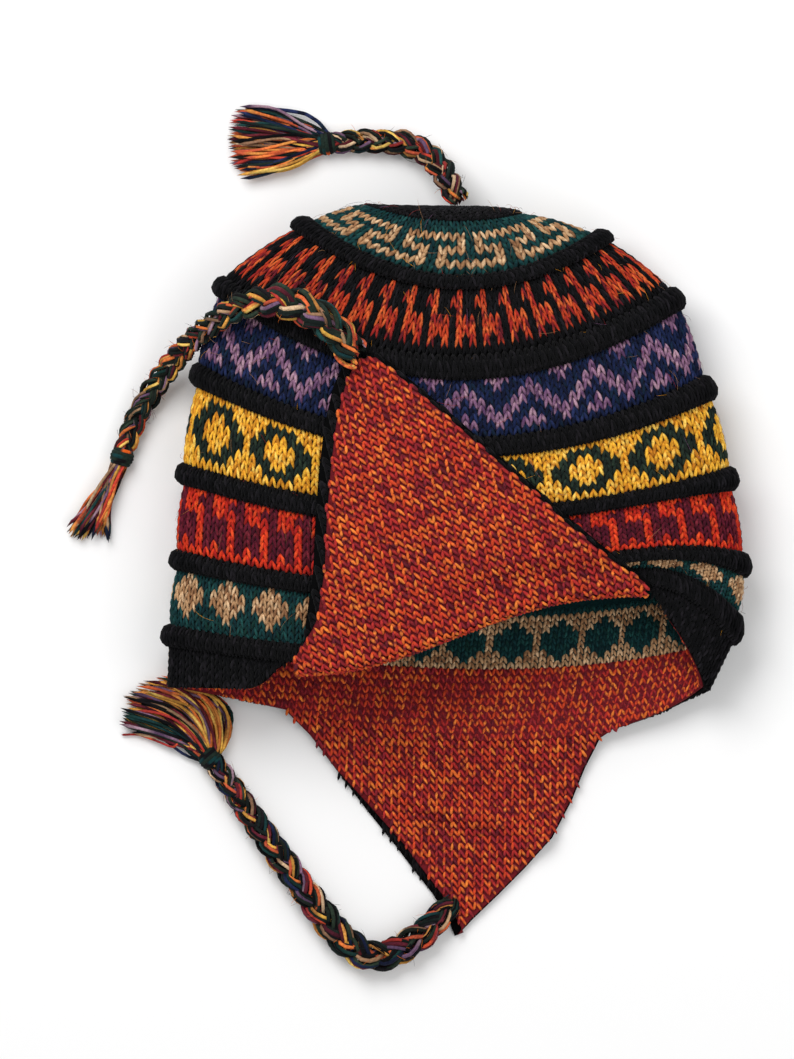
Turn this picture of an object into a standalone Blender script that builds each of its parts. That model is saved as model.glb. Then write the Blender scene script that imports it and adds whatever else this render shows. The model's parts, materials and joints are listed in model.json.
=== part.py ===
"""Chullo hat: knitted bands and rolled welts round a crown that lies on its side.

Metres, +Z up off the surface that the hat lies on. The crown points along +Y and its mouth along -Y.
The near layer is the upper one: its ear flap is folded up over the crown, with the lining outwards.
The far layer lies on the surface, and its ear flap reaches down with the lining up.
"""

import math

import bpy
import bmesh
import numpy as np
from mathutils import Vector

# Driving dimensions
HAT_WIDTH = 0.267
CROWN_LENGTH = 0.224
HAT_THICKNESS = 0.062
EDGE_HEIGHT = 0.024
REST_HEIGHT = 0.0013
WALL = 0.0022
LINING = 0.0018
GAP = 0.0003
LINING_GAP = 0.0006
CAP_SEAM = 0.0009
FLAP_SEAM = 0.0005
WELT_RISE = 0.004
WELT_SEAM = 0.0004
PRESSED_RISE = 0.0005
BAND_SWELL = 0.0006
PULL_DEPTH = 0.035
DIP_DEPTH = 0.004
LEAST_RIM = 0.006
FOLD_RADIUS = 0.0018
FLAP_LENGTH = 0.140
FLAP_REACH = 0.103
FLAP_EDGE_LEFT = 0.0055
FLAP_EDGE_RIGHT = 0.0033
FLAP_CLEARANCE = 0.0015
FLAT_EDGE_LEFT = 0.0035
FLAT_EDGE_RIGHT = 0.0018
BRAID_WIDTH = 0.0118
BRAID_LIFT = 0.0002
TIE_RADIUS = 0.0052
TASSEL_LENGTH = 0.046
LOCK_RADIUS = 0.0052

# Columns of the loft round each ring, half of them on the near layer, and those across a flap
COLUMNS = 40
FLAP_COLUMNS = 12
FOLD_STEPS = 4
BRAID_SIDES = 2
BRAID_STEP = 1.3
LOCK_SIDES = 6
HEAD_SIDES = 8

# The rings of the crown, from the black cap at the top to the hem. left and right are the ring's ends
# as shares of half the width, and left_down and right_down say how far they lie below the apex, as
# shares of the crown's length, as sag and far_sag do for the middle of each layer. top is the near
# layer's height as a share of the thickness, pull and dip scale the gather under the flap's right end.
RING_COLUMNS = ("left", "right", "left_down", "right_down", "sag", "far_sag", "skew", "top", "pull", "dip")
RINGS = {
    "cap_edge": (-0.322, 0.218, -0.004, 0.015, 0.024, 0.024, 0.0, 0.80, 0.0, 0.0),
    "key_end": (-0.503, 0.469, 0.033, 0.058, 0.098, 0.098, 0.0, 0.90, 0.0, 0.0),
    "welt_1_end": (-0.563, 0.524, 0.046, 0.073, 0.109, 0.109, 0.0, 0.92, 0.0, 0.0),
    "lightning_end": (-0.807, 0.733, 0.147, 0.170, 0.150, 0.150, 0.0, 0.97, 0.0, 0.0),
    "welt_2_end": (-0.821, 0.765, 0.180, 0.207, 0.160, 0.160, 0.0, 0.98, 0.0, 0.0),
    "zigzag_end": (-0.897, 0.848, 0.324, 0.351, 0.140, 0.140, 0.0, 1.00, 0.0, 0.0),
    "welt_3_end": (-0.897, 0.873, 0.365, 0.394, 0.133, 0.133, 0.0, 1.00, 0.0, 0.0),
    "ring_end": (-0.949, 0.939, 0.531, 0.539, 0.087, 0.087, 0.0, 0.99, 0.0, 0.0),
    "welt_4_end": (-0.943, 0.943, 0.568, 0.581, 0.088, 0.088, 0.0, 0.99, 0.10, 0.0),
    "stepped_end": (-0.970, 0.984, 0.710, 0.716, 0.071, 0.071, 0.0, 0.97, 0.33, 0.0),
    "welt_5_end": (-0.967, 0.988, 0.745, 0.759, 0.065, 0.065, 0.0, 0.96, 0.47, 0.4),
    "diamond_end": (-0.995, 0.967, 0.865, 0.840, 0.062, 0.060, 0.0, 0.92, 0.88, 1.0),
    "welt_6_end": (-0.995, 0.953, 0.902, 0.896, 0.052, 0.056, 0.02, 0.91, 1.00, 0.5),
    "hem": (-1.002, 0.869, 0.994, 1.000, 0.004, 0.104, 0.062, 0.89, 1.45, 0.0),
}
RING_NAMES = list(RINGS)
RING_VALUES = np.array(list(RINGS.values()))
HEM_RING = float(len(RINGS))
FOLD_RING = HEM_RING - 1.0
APEX = {"across": 0.02, "down": 0.002, "height": 0.45}

# The gather of the near layer: it starts, peaks and ends at these places across a ring, from -1 to 1.
GATHER_START, GATHER_PEAK = -0.60, 0.50
# The fold lies between these places, and the rim runs round the rest of the hem.
FOLD_LEFT, FOLD_RIGHT = -0.62, 0.74
RIM_LEFT, RIM_RIGHT = -0.645, 0.79
# The near hem climbs towards the fold from this place, by this share of the gather's depth.
HEM_CLIMB_START, HEM_CLIMB = -0.72, 0.17
# A welt is pressed down over this distance across the ring, where it runs under the fold.
PRESSED_MARGIN = 0.12

# How the thickness falls off towards the edges: the near layer is domed, the far layer lies flat.
NEAR_ROUNDNESS, FAR_ROUNDNESS = 0.85, 0.6

# The patterned lining of the mouth starts at this ring, part of the way down the red band.
LINING_START = 10.55

# A welt is a rolled ridge. along runs down its width, out is a share of its rise.
WELT_PROFILE = (
    {"along": 0.0, "out": 0.30},
    {"along": 0.30, "out": 1.0},
    {"along": 0.85, "out": 1.0},
    {"along": 1.10, "out": 0.60},
    {"along": 1.0, "out": 0.15},
)

# The flap that is folded up over the crown. left and right are its edges as shares of half the hat's
# width, and left_up and right_up their places above its base as shares of the flap's length. The base
# is the fold's lowest place, as a share of the crown's length below the apex.
FOLDED_DOWN = 0.942
FOLDED_COLUMNS = ("left", "left_up", "right", "right_up")
FOLDED_ROWS = (
    (-0.487, 0.135, 0.513, 0.351),
    (-0.460, 0.307, 0.367, 0.467),
    (-0.453, 0.467, 0.225, 0.590),
    (-0.440, 0.632, 0.092, 0.700),
    (-0.420, 0.790, -0.040, 0.813),
    (-0.390, 0.911, -0.174, 0.920),
    (-0.350, 1.000, -0.284, 1.006),
)

# The flap that lies on the surface, the same way: left_down and right_down are shares of its reach
# below the base, and it joins the far hem between two places across it.
FAR_HEM_DOWN = 1.045
FLAT_LEFT, FLAT_RIGHT = -0.572, 0.65
FLAT_COLUMNS = ("left", "left_down", "right", "right_down")
FLAT_ROWS = (
    (-0.514, 0.105, 0.497, 0.119),
    (-0.427, 0.254, 0.444, 0.254),
    (-0.322, 0.435, 0.399, 0.399),
    (-0.218, 0.602, 0.329, 0.570),
    (-0.158, 0.706, 0.235, 0.706),
    (-0.089, 0.819, 0.141, 0.828),
    (-0.040, 0.918, 0.051, 0.940),
    (-0.009, 1.013, 0.004, 1.006),
)
EDGE_TAPER = 0.25
FLAT_CREASE = {"at": 0.42, "width": 0.10, "rise": 0.0022}

# Routes of the braids from where each one leaves the hat: across as a share of half the hat's width,
# down as a share of the crown's length, lift off the surface as a share of the hat's thickness, and
# the width as a share of the braid's width.
BRAID_COLUMNS = ("across", "down", "lift", "width")
BRAID_ROUTES = {
    "top_braid": (
        (-0.0163, -0.0132, 0.351, 0.85),
        (-0.0462, -0.0466, 0.285, 0.95),
        (-0.0814, -0.0833, 0.176, 1.0),
        (-0.1286, -0.1145, 0.071, 1.0),
        (-0.1885, -0.1324, 0.015, 1.0),
        (-0.2560, -0.1395, 0.002, 1.0),
        (-0.3421, -0.1404, 0.000, 1.0),
        (-0.4245, -0.1386, 0.000, 0.95),
        (-0.4769, -0.1355, 0.005, 0.85),
    ),
    "near_braid": (
        (-0.0321, -0.0080, 1.078, 1.15),
        (-0.0688, -0.0316, 1.042, 1.3),
        (-0.1399, -0.0763, 1.017, 1.4),
        (-0.2298, -0.1066, 0.972, 1.45),
        (-0.3197, -0.1187, 0.888, 1.4),
        (-0.4396, -0.1062, 0.766, 1.15),
        (-0.5444, -0.0674, 0.563, 1.0),
        (-0.6081, -0.0370, 0.369, 1.0),
        (-0.6703, 0.0045, 0.176, 1.0),
        (-0.7354, 0.0563, 0.047, 1.0),
        (-0.7856, 0.1045, 0.011, 0.95),
        (-0.8231, 0.1559, 0.000, 0.95),
        (-0.8515, 0.2027, 0.003, 0.85),
    ),
    "far_braid": (
        (-0.0709, -0.0324, 0.000, 1.15),
        (-0.1024, -0.0114, 0.000, 1.2),
        (-0.1563, 0.0131, 0.000, 1.25),
        (-0.2260, 0.0363, 0.000, 1.27),
        (-0.2956, 0.0435, 0.000, 1.27),
        (-0.3645, 0.0230, 0.000, 1.27),
        (-0.4245, -0.0105, 0.000, 1.25),
        (-0.4829, -0.0561, 0.000, 1.22),
        (-0.5353, -0.0976, 0.000, 1.18),
        (-0.6342, -0.1806, 0.000, 1.12),
        (-0.7278, -0.2592, 0.000, 1.05),
        (-0.7765, -0.3012, 0.000, 1.0),
        (-0.8215, -0.3387, 0.000, 0.95),
        (-0.8589, -0.3681, 0.000, 0.85),
    ),
}

# Locks of each tassel: the tip from the tie, across and down, and the lock's sideways bow as shares of
# the tassel's length, and the lock's width as a share of its radius.
LOCK_COLUMNS = ("across", "down", "bow", "width")
TASSEL_LOCKS = {
    "top_tassel": (
        (-0.848, -0.413, -0.065, 0.95),
        (-0.957, -0.261, -0.033, 1.0),
        (-0.989, -0.109, 0.000, 1.0),
        (-1.000, 0.043, 0.000, 1.0),
        (-0.967, 0.196, 0.033, 1.0),
        (-0.870, 0.348, 0.087, 0.85),
    ),
    "near_tassel": (
        (-0.587, 0.739, 0.043, 1.0),
        (-0.478, 0.826, 0.033, 1.0),
        (-0.348, 0.859, 0.000, 1.0),
        (-0.239, 0.761, 0.000, 0.95),
        (-0.109, 0.880, -0.087, 0.85),
    ),
    "far_tassel": (
        (-0.913, -0.304, -0.043, 0.95),
        (-0.924, -0.457, -0.065, 1.0),
        (-0.870, -0.620, -0.130, 1.0),
        (-0.717, -0.750, -0.217, 1.0),
        (-0.522, -0.815, -0.304, 1.0),
        (-0.359, -0.750, -0.370, 0.9),
    ),
}
LOCK_SHARES = (0.0, 0.2, 0.45, 0.75, 1.0)
LOCK_WIDTHS = (0.75, 0.80, 1.0, 0.95, 0.62)
LOCK_FLATNESS = 0.85
LOCK_TIP_HEIGHT = 0.6
LOCK_START = 0.06

# Finer steps used inside the shape functions
ANGLE_STEPS = 180
ROUTE_STEPS = 12
NORMAL_STEP, NORMAL_TURN = 0.12, 0.004
CAP_SHARES = (0.25, 0.5, 0.75)
BAND_ORDER = (0, 0, 1, 2, 2)
RIM_ORDER = (0, 0, 1, 1)

COLOURS = {
    "black": (0.012, 0.012, 0.014),
    "teal": (0.030, 0.075, 0.080),
    "lightning": (0.110, 0.028, 0.014),
    "navy": (0.018, 0.024, 0.070),
    "gold": (0.520, 0.300, 0.050),
    "red": (0.420, 0.060, 0.020),
    "rust": (0.330, 0.062, 0.028),
    "tan": (0.330, 0.220, 0.130),
    "yarn": (0.120, 0.070, 0.050),
}


def clear_scene():
    for obj in list(bpy.data.objects):
        bpy.data.objects.remove(obj, do_unlink=True)


def new_collection(name):
    collection = bpy.data.collections.new(name)
    bpy.context.scene.collection.children.link(collection)
    return collection


def knit_material(name, colour):
    material = bpy.data.materials.new(name)
    material.use_nodes = True
    shader = material.node_tree.nodes["Principled BSDF"]
    shader.inputs["Base Color"].default_value = (*colour, 1.0)
    shader.inputs["Roughness"].default_value = 0.95
    shader.inputs["Metallic"].default_value = 0.0
    return material


def gather(across):
    """How strongly the near layer is gathered up, from 0 to 1, at a place across a ring."""
    if across <= GATHER_START:
        return 0.0
    if across < GATHER_PEAK:
        share = (GATHER_PEAK - across) / (GATHER_PEAK - GATHER_START)
        return math.cos(share * math.pi / 2) ** 2
    return max(0.0, 1.0 - ((across - GATHER_PEAK) / (1.0 - GATHER_PEAK)) ** 3)


def ring_values(station):
    """The columns of RINGS at a station, counted from 1 at the cap's edge."""
    place = min(max(station - 1.0, 0.0), len(RINGS) - 1.0)
    low = min(int(place), len(RINGS) - 2)
    share = place - low
    mixed = RING_VALUES[low] * (1.0 - share) + RING_VALUES[low + 1] * share
    return dict(zip(RING_COLUMNS, mixed))


def hem_share(station):
    return max(0.0, station - FOLD_RING)


def ring_point(values, station, angle):
    """A point of a ring. The angle is 0 in the near layer's middle and half a turn in the far layer's."""
    across = math.sin(angle)
    facing = math.cos(angle)
    half = (values["right"] - values["left"]) / 2
    middle = (values["right"] + values["left"]) / 2
    x = (middle + half * across) * HAT_WIDTH / 2
    ends = (values["left_down"] + values["right_down"]) / 2
    tilt = (values["right_down"] - values["left_down"]) / 2
    down = ends + tilt * across
    if facing > 0:
        down += values["sag"] * facing**2
        y = -down * CROWN_LENGTH + values["pull"] * PULL_DEPTH * gather(across)
        climb = (across - HEM_CLIMB_START) / (FOLD_LEFT - HEM_CLIMB_START)
        if across < GATHER_PEAK:
            y += hem_share(station) * HEM_CLIMB * PULL_DEPTH * min(max(climb, 0.0), 2.0) ** 2
        if hem_share(station) > 0.0:
            fold = ring_point(ring_values(FOLD_RING), FOLD_RING, angle)
            y = min(y, fold.y - hem_share(station) * LEAST_RIM)
        top = values["top"] * HAT_THICKNESS
        z = EDGE_HEIGHT + (top - EDGE_HEIGHT) * facing**NEAR_ROUNDNESS
        z -= values["dip"] * DIP_DEPTH * gather(across)
    else:
        down += values["far_sag"] * facing**2 + values["skew"] * across * facing**2
        y = -down * CROWN_LENGTH
        z = EDGE_HEIGHT - (EDGE_HEIGHT - REST_HEIGHT) * abs(facing) ** FAR_ROUNDNESS
    return Vector((x, y, z))


ANGLE_TABLES = {}


def angle_table(station):
    """Angles of a ring and the lengths along it, so that its columns are evenly spaced."""
    key = round(station, 4)
    if key not in ANGLE_TABLES:
        values = ring_values(station)
        halves = []
        for start in (-math.pi / 2, math.pi / 2):
            angles = [start + math.pi * i / ANGLE_STEPS for i in range(ANGLE_STEPS + 1)]
            points = [ring_point(values, station, angle) for angle in angles]
            lengths = [0.0]
            for before, after in zip(points, points[1:]):
                lengths.append(lengths[-1] + (after - before).length)
            halves.append((np.array(angles), np.array(lengths) / lengths[-1]))
        ANGLE_TABLES[key] = halves
    return ANGLE_TABLES[key]


def crown_point(station, turn):
    """The outer surface of the crown: turn runs from 0 at the left, 0.25 near, 0.5 right to 0.75 far."""
    turn %= 1.0
    if station < 1.0:
        return cap_point(station, turn)
    angles, lengths = angle_table(station)[0 if turn < 0.5 else 1]
    angle = float(np.interp((turn % 0.5) * 2, lengths, angles))
    return ring_point(ring_values(station), station, angle)


def cap_point(share, turn):
    """The dome of the cap, from its top, the apex, at 0 to its edge at 1."""
    edge = crown_point(1.0, turn)
    apex = Vector((
        APEX["across"] * HAT_WIDTH / 2,
        -APEX["down"] * CROWN_LENGTH,
        APEX["height"] * HAT_THICKNESS,
    ))
    out = math.sin(share * math.pi / 2)
    down = 1.0 - math.cos(share * math.pi / 2)
    point = apex.lerp(edge, out)
    point.y = apex.y + (edge.y - apex.y) * down
    return point


def crown_normal(station, turn):
    """Pointing out of the crown. Across a seam it is the mean of both sides, so that pieces meet."""
    above = crown_point(max(station - NORMAL_STEP, 0.02), turn)
    below = crown_point(min(station + NORMAL_STEP, HEM_RING), turn)
    before = crown_point(station, turn - NORMAL_TURN)
    after = crown_point(station, turn + NORMAL_TURN)
    return (below - above).cross(after - before).normalized()


def crown_offset(station, turn, out):
    return crown_point(station, turn) + crown_normal(station, turn) * out


def seam_station(station, turn, shift):
    """A station moved along the surface by a length, for the gap between two pieces."""
    side = 0.05 if shift > 0 else -0.05
    slope = (crown_point(station + side, turn) - crown_point(station, turn)).length / abs(side)
    return station + shift / max(slope, 0.002)


def new_object(name, mesh, collection, colour):
    obj = bpy.data.objects.new(name, mesh)
    obj.data.materials.append(knit_material(f"{name}_knit", COLOURS[colour]))
    collection.objects.link(obj)
    return obj


def finish_mesh(name, bm):
    """A mesh of the closed surface, with its faces turned outwards."""
    bmesh.ops.recalc_face_normals(bm, faces=bm.faces)
    if bm.calc_volume(signed=True) < 0:
        bmesh.ops.reverse_faces(bm, faces=bm.faces)
    mesh = bpy.data.meshes.new(name)
    bm.to_mesh(mesh)
    bm.free()
    for polygon in mesh.polygons:
        polygon.use_smooth = True
    return mesh


def loft(name, sections, order, collection, colour, closed=True):
    """One solid through sections of the same number of points.

    order says how far down the surface each point of a section lies. Every quad is split along the
    diagonal that runs down it, so that the skins of two layers stay parallel.
    """
    bm = bmesh.new()
    rows = [[bm.verts.new(point) for point in section] for section in sections]
    pairs = list(zip(rows, rows[1:]))
    if closed:
        pairs.append((rows[-1], rows[0]))
    count = len(order)
    for first, second in pairs:
        for i in range(count):
            j = (i + 1) % count
            if order[i] <= order[j]:
                bm.faces.new((first[i], first[j], second[j]))
                bm.faces.new((first[i], second[j], second[i]))
            else:
                bm.faces.new((first[i], first[j], second[i]))
                bm.faces.new((first[j], second[j], second[i]))
    if not closed:
        for row in (rows[0], rows[-1]):
            cap = bm.faces.new(row)
            bmesh.ops.triangulate(bm, faces=[cap])
    return new_object(name, finish_mesh(name, bm), collection, colour)


def column_turns():
    return [i / COLUMNS for i in range(COLUMNS)]


def band(name, first, last, collection, colour, swell=BAND_SWELL):
    """A knitted band between two rings, with a slight swell in its middle."""
    sections = []
    for turn in column_turns():
        start = seam_station(first, turn, CAP_SEAM if first == 1.0 else GAP)
        end = seam_station(last, turn, -GAP)
        middle = (start + end) / 2
        sections.append([
            crown_offset(start, turn, -WALL),
            crown_offset(start, turn, 0.0),
            crown_offset(middle, turn, swell * rest_share(turn)),
            crown_offset(end, turn, 0.0),
            crown_offset(end, turn, -WALL),
        ])
    return loft(name, sections, BAND_ORDER, collection, colour)


def rest_share(turn):
    """1 on the near layer and at the edges, falling to 0 where the far layer is pressed flat."""
    if turn <= 0.5:
        return 1.0
    return 1.0 - math.sin((turn - 0.5) * 2 * math.pi) ** FAR_ROUNDNESS


def welt_rise(turn, under_flap):
    """A welt stands out on top, and is pressed flat below and, at the fold, under the flap."""
    pressed = REST_HEIGHT
    rise = pressed + (WELT_RISE - pressed) * rest_share(turn)
    if under_flap and turn < 0.5:
        across = -math.cos(turn * 2 * math.pi)
        depth = min(across - FOLD_LEFT, FOLD_RIGHT - across) + PRESSED_MARGIN
        share = min(max(depth / PRESSED_MARGIN, 0.0), 1.0)
        rise += (PRESSED_RISE - rise) * share
    return rise


def welt(name, first, last, collection, under_flap=False):
    """A rolled ridge whose lower lip hangs over the band below it."""
    sections = []
    for turn in column_turns():
        start = seam_station(first, turn, WELT_SEAM)
        end = seam_station(last, turn, -WELT_SEAM)
        rise = welt_rise(turn, under_flap)
        top, low = crown_point(start, turn), crown_point(end, turn)
        section = [crown_offset(start, turn, -WALL)]
        for row in WELT_PROFILE:
            normal = crown_normal(start + (end - start) * min(row["along"], 1.0), turn)
            section.append(top.lerp(low, row["along"]) + normal * rise * row["out"])
        section.append(crown_offset(end, turn, -WALL))
        sections.append(section)
    order = [0, *(row["along"] for row in WELT_PROFILE), 1]
    return loft(name, sections, order, collection, "black")


def crown_cap(collection):
    """The dome at the top: an outer skin down to its edge and an inner skin back up."""
    apex_out, apex_in = cap_point(0.0, 0.0), cap_point(0.0, 0.0) - Vector((0.0, WALL, 0.0))
    bm = bmesh.new()
    rows = []
    for share in CAP_SHARES:
        rows.append([bm.verts.new(cap_point(share, turn)) for turn in column_turns()])
    edge = [seam_station(1.0, turn, -CAP_SEAM) for turn in column_turns()]
    for depth in (0.0, -WALL):
        rows.append([bm.verts.new(crown_offset(s, t, depth)) for s, t in zip(edge, column_turns())])
    for share in reversed(CAP_SHARES):
        rows.append([bm.verts.new(crown_offset(share, turn, -WALL)) for turn in column_turns()])
    for first, second in zip(rows, rows[1:]):
        for i in range(COLUMNS):
            j = (i + 1) % COLUMNS
            bm.faces.new((first[i], first[j], second[j], second[i]))
    for point, row in ((apex_out, rows[0]), (apex_in, rows[-1])):
        tip = bm.verts.new(point)
        for i in range(COLUMNS):
            bm.faces.new((tip, row[i], row[(i + 1) % COLUMNS]))
    return new_object("crown_cap", finish_mesh("crown_cap", bm), collection, "black")


def turn_of(station, across, near=True):
    """The turn at which a ring passes a place across it."""
    half = angle_table(station)[0 if near else 1]
    angle = math.asin(across) if near else math.pi - math.asin(across)
    share = float(np.interp(angle, half[0], half[1]))
    return share / 2 if near else 0.5 + share / 2


def rim_sections(outer, inner):
    """Round the hem from the fold's right end, over the right edge and the far layer, to its left end."""
    start = turn_of(FOLD_RING, RIM_RIGHT)
    end = 1.0 + turn_of(FOLD_RING, RIM_LEFT)
    least = 0.2 / COLUMNS
    turns = [start]
    turns += [i / COLUMNS for i in range(2 * COLUMNS) if start + least < i / COLUMNS < end - least]
    turns.append(end)
    sections = []
    for turn in turns:
        first = seam_station(FOLD_RING, turn, GAP)
        last = seam_station(HEM_RING, turn, -GAP)
        sections.append([
            crown_offset(first, turn, inner),
            crown_offset(first, turn, outer),
            crown_offset(last, turn, outer),
            crown_offset(last, turn, inner),
        ])
    return sections


def diamond_lining(collection):
    """The patterned inside of the diamond band, which shows in the mouth."""
    outer, inner = -WALL - LINING_GAP, -WALL - LINING_GAP - LINING
    sections = []
    for turn in column_turns():
        last = seam_station(FOLD_RING, turn, -GAP)
        stations = (LINING_START, FOLD_RING - 2.0, FOLD_RING - 1.0, last)
        section = [crown_offset(station, turn, outer) for station in stations]
        section += [crown_offset(station, turn, inner) for station in reversed(stations)]
        sections.append(section)
    return loft("diamond_lining", sections, (0, 1, 2, 3, 3, 2, 1, 0), collection, "tan")


def near_height(x, y):
    """Height of the near layer's outer surface under a point."""
    low, high = 1.0, HEM_RING

    def point_at(station):
        values = ring_values(station)
        half = (values["right"] - values["left"]) / 2 * HAT_WIDTH / 2
        middle = (values["right"] + values["left"]) / 2 * HAT_WIDTH / 2
        across = min(max((x - middle) / half, -0.999), 0.999)
        return ring_point(values, station, math.asin(across))

    for _ in range(24):
        middle = (low + high) / 2
        if point_at(middle).y > y:
            low = middle
        else:
            high = middle
    return point_at(low).z


def fold_point(share):
    """The fold, on the near layer's last ring above the hem, with the ways down and out of the crown."""
    turn_left, turn_right = turn_of(FOLD_RING, FOLD_LEFT), turn_of(FOLD_RING, FOLD_RIGHT)
    turn = turn_left + (turn_right - turn_left) * share
    point = crown_point(FOLD_RING, turn)
    normal = crown_normal(FOLD_RING, turn)
    out = point - crown_point(FOLD_RING - 0.2, turn)
    out = (out - normal * out.dot(normal)).normalized()
    return point, out, normal


def folded_outline(row, share, left_edge, right_edge):
    """A point across one row of the folded flap, seen from above."""
    values = dict(zip(FOLDED_COLUMNS, row))
    hem_level = -FOLDED_DOWN * CROWN_LENGTH
    left = Vector((values["left"] * HAT_WIDTH / 2, hem_level + values["left_up"] * FLAP_LENGTH, 0.0))
    right = Vector((values["right"] * HAT_WIDTH / 2, hem_level + values["right_up"] * FLAP_LENGTH, 0.0))
    along = (right - left).normalized()
    left -= along * left_edge
    right += along * right_edge
    return left.lerp(right, share)


def folded_sheet(inner_radius, thickness, left_edge, right_edge):
    """Two grids of points, the under and the upper side of one layer of the folded flap."""
    sides = []
    for radius in (inner_radius, inner_radius + thickness):
        grid = []
        for step in range(FOLD_STEPS + 1):
            angle = math.pi * step / FOLD_STEPS - math.pi / 2
            row = []
            for i in range(FLAP_COLUMNS):
                share = i / (FLAP_COLUMNS - 1)
                point, out, normal = fold_point(share)
                centre = point + out * FLAP_SEAM + normal * FOLD_RADIUS
                row.append(centre + (out * math.cos(angle) + normal * math.sin(angle)) * radius)
            grid.append(row)
        for values in FOLDED_ROWS:
            row = []
            for i in range(FLAP_COLUMNS):
                point = folded_outline(values, i / (FLAP_COLUMNS - 1), left_edge, right_edge)
                point.z = near_height(point.x, point.y) + WELT_RISE + FLAP_CLEARANCE + radius - FOLD_RADIUS
                row.append(point)
            grid.append(row)
        sides.append(grid)
    return sides


def sheet_solid(name, under, upper, collection, colour):
    """A solid between two grids of points of the same size."""
    sections = [list(low) + list(reversed(high)) for low, high in zip(under, upper)]
    across = list(range(FLAP_COLUMNS))
    return loft(name, sections, across + across[::-1], collection, colour, closed=False)


def far_hem_point(share):
    turn_right = turn_of(HEM_RING, FLAT_RIGHT, near=False)
    turn_left = turn_of(HEM_RING, FLAT_LEFT, near=False)
    turn = turn_left + (turn_right - turn_left) * share
    return crown_point(HEM_RING, turn)


def flat_sheet(bottom, thickness, left_edge, right_edge):
    """Two grids of points for one layer of the flap that lies on the surface."""
    hem_level = -FAR_HEM_DOWN * CROWN_LENGTH
    sides = []
    for height in (bottom, bottom + thickness):
        first = []
        for i in range(FLAP_COLUMNS):
            point = far_hem_point(i / (FLAP_COLUMNS - 1))
            first.append(Vector((point.x, point.y - FLAP_SEAM, REST_HEIGHT + height)))
        grid = [first]
        for row in FLAT_ROWS:
            values = dict(zip(FLAT_COLUMNS, row))
            left_y = hem_level - values["left_down"] * FLAP_REACH
            right_y = hem_level - values["right_down"] * FLAP_REACH
            left = Vector((values["left"] * HAT_WIDTH / 2, left_y, 0.0))
            right = Vector((values["right"] * HAT_WIDTH / 2, right_y, 0.0))
            along = (right - left).normalized()
            taper = min(1.0, values["left_down"] / EDGE_TAPER)
            left += along * left_edge * taper
            right -= along * right_edge * taper
            crease = (values["left_down"] - FLAT_CREASE["at"]) / FLAT_CREASE["width"]
            lift = FLAT_CREASE["rise"] * math.exp(-(crease**2))
            straightened = max(0.0, 1.0 - (values["left_down"] + values["right_down"]) / 2) ** 2
            points = [left.lerp(right, i / (FLAP_COLUMNS - 1)) for i in range(FLAP_COLUMNS)]
            for point, hem in zip(points, first):
                chord = first[0].lerp(first[-1], (hem.x - first[0].x) / (first[-1].x - first[0].x))
                point.y += (hem.y - chord.y) * straightened
                point.z = height + lift
            grid.append(points)
        sides.append(grid)
    return sides


def braid_rows(name):
    """The braid's route from where it leaves the hat, with the surface's height added."""
    folded = folded_outline(FOLDED_ROWS[-1], 0.5, 0.0, 0.0)
    flat = dict(zip(FLAT_COLUMNS, FLAT_ROWS[-1]))
    exits = {
        "top_braid": (APEX["across"] * HAT_WIDTH / 2, -APEX["down"] * CROWN_LENGTH),
        "near_braid": (folded.x, folded.y),
        "far_braid": (
            (flat["left"] + flat["right"]) / 2 * HAT_WIDTH / 2,
            -FAR_HEM_DOWN * CROWN_LENGTH - (flat["left_down"] + flat["right_down"]) / 2 * FLAP_REACH,
        ),
    }
    rows = []
    for row in BRAID_ROUTES[name]:
        values = dict(zip(BRAID_COLUMNS, row))
        x = exits[name][0] + values["across"] * HAT_WIDTH / 2
        y = exits[name][1] - values["down"] * CROWN_LENGTH
        z = values["width"] * BRAID_WIDTH / 2 + BRAID_LIFT + values["lift"] * HAT_THICKNESS
        rows.append((x, y, z, values["width"]))
    return rows


def smooth_route(rows, count):
    """Points evenly spaced along a smooth curve through the route's own points."""
    points = [np.array(row) for row in rows]
    points = [2 * points[0] - points[1], *points, 2 * points[-1] - points[-2]]
    fine = []
    for a, b, c, d in zip(points, points[1:], points[2:], points[3:]):
        for step in range(ROUTE_STEPS):
            t = step / ROUTE_STEPS
            second = 2 * a - 5 * b + 4 * c - d
            third = 3 * b - a - 3 * c + d
            fine.append(0.5 * (2 * b + (c - a) * t + second * t**2 + third * t**3))
    fine.append(points[-2])
    fine = np.array(fine)
    lengths = np.concatenate([[0.0], np.cumsum(np.linalg.norm(np.diff(fine[:, :3], axis=0), axis=1))])
    wanted = np.linspace(0.0, lengths[-1], count)
    return np.stack([np.interp(wanted, lengths, fine[:, i]) for i in range(4)], axis=1), lengths[-1]


def braid(name, collection):
    """A tube along the braid's route."""
    rows = braid_rows(name)
    length = smooth_route(rows, 2)[1]
    count = max(6, round(length / (BRAID_WIDTH * BRAID_STEP)))
    points = smooth_route(rows, count)[0]
    curve = bpy.data.curves.new(name, "CURVE")
    curve.dimensions = "3D"
    curve.bevel_depth = BRAID_WIDTH / 2
    curve.bevel_resolution = BRAID_SIDES
    curve.use_fill_caps = True
    spline = curve.splines.new("POLY")
    spline.points.add(len(points) - 1)
    for target, point in zip(spline.points, points):
        target.co = (*point[:3], 1.0)
        target.radius = point[3]
    obj = bpy.data.objects.new(name, curve)
    curve.materials.append(knit_material(f"{name}_yarn", COLOURS["yarn"]))
    collection.objects.link(obj)
    return obj


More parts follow.
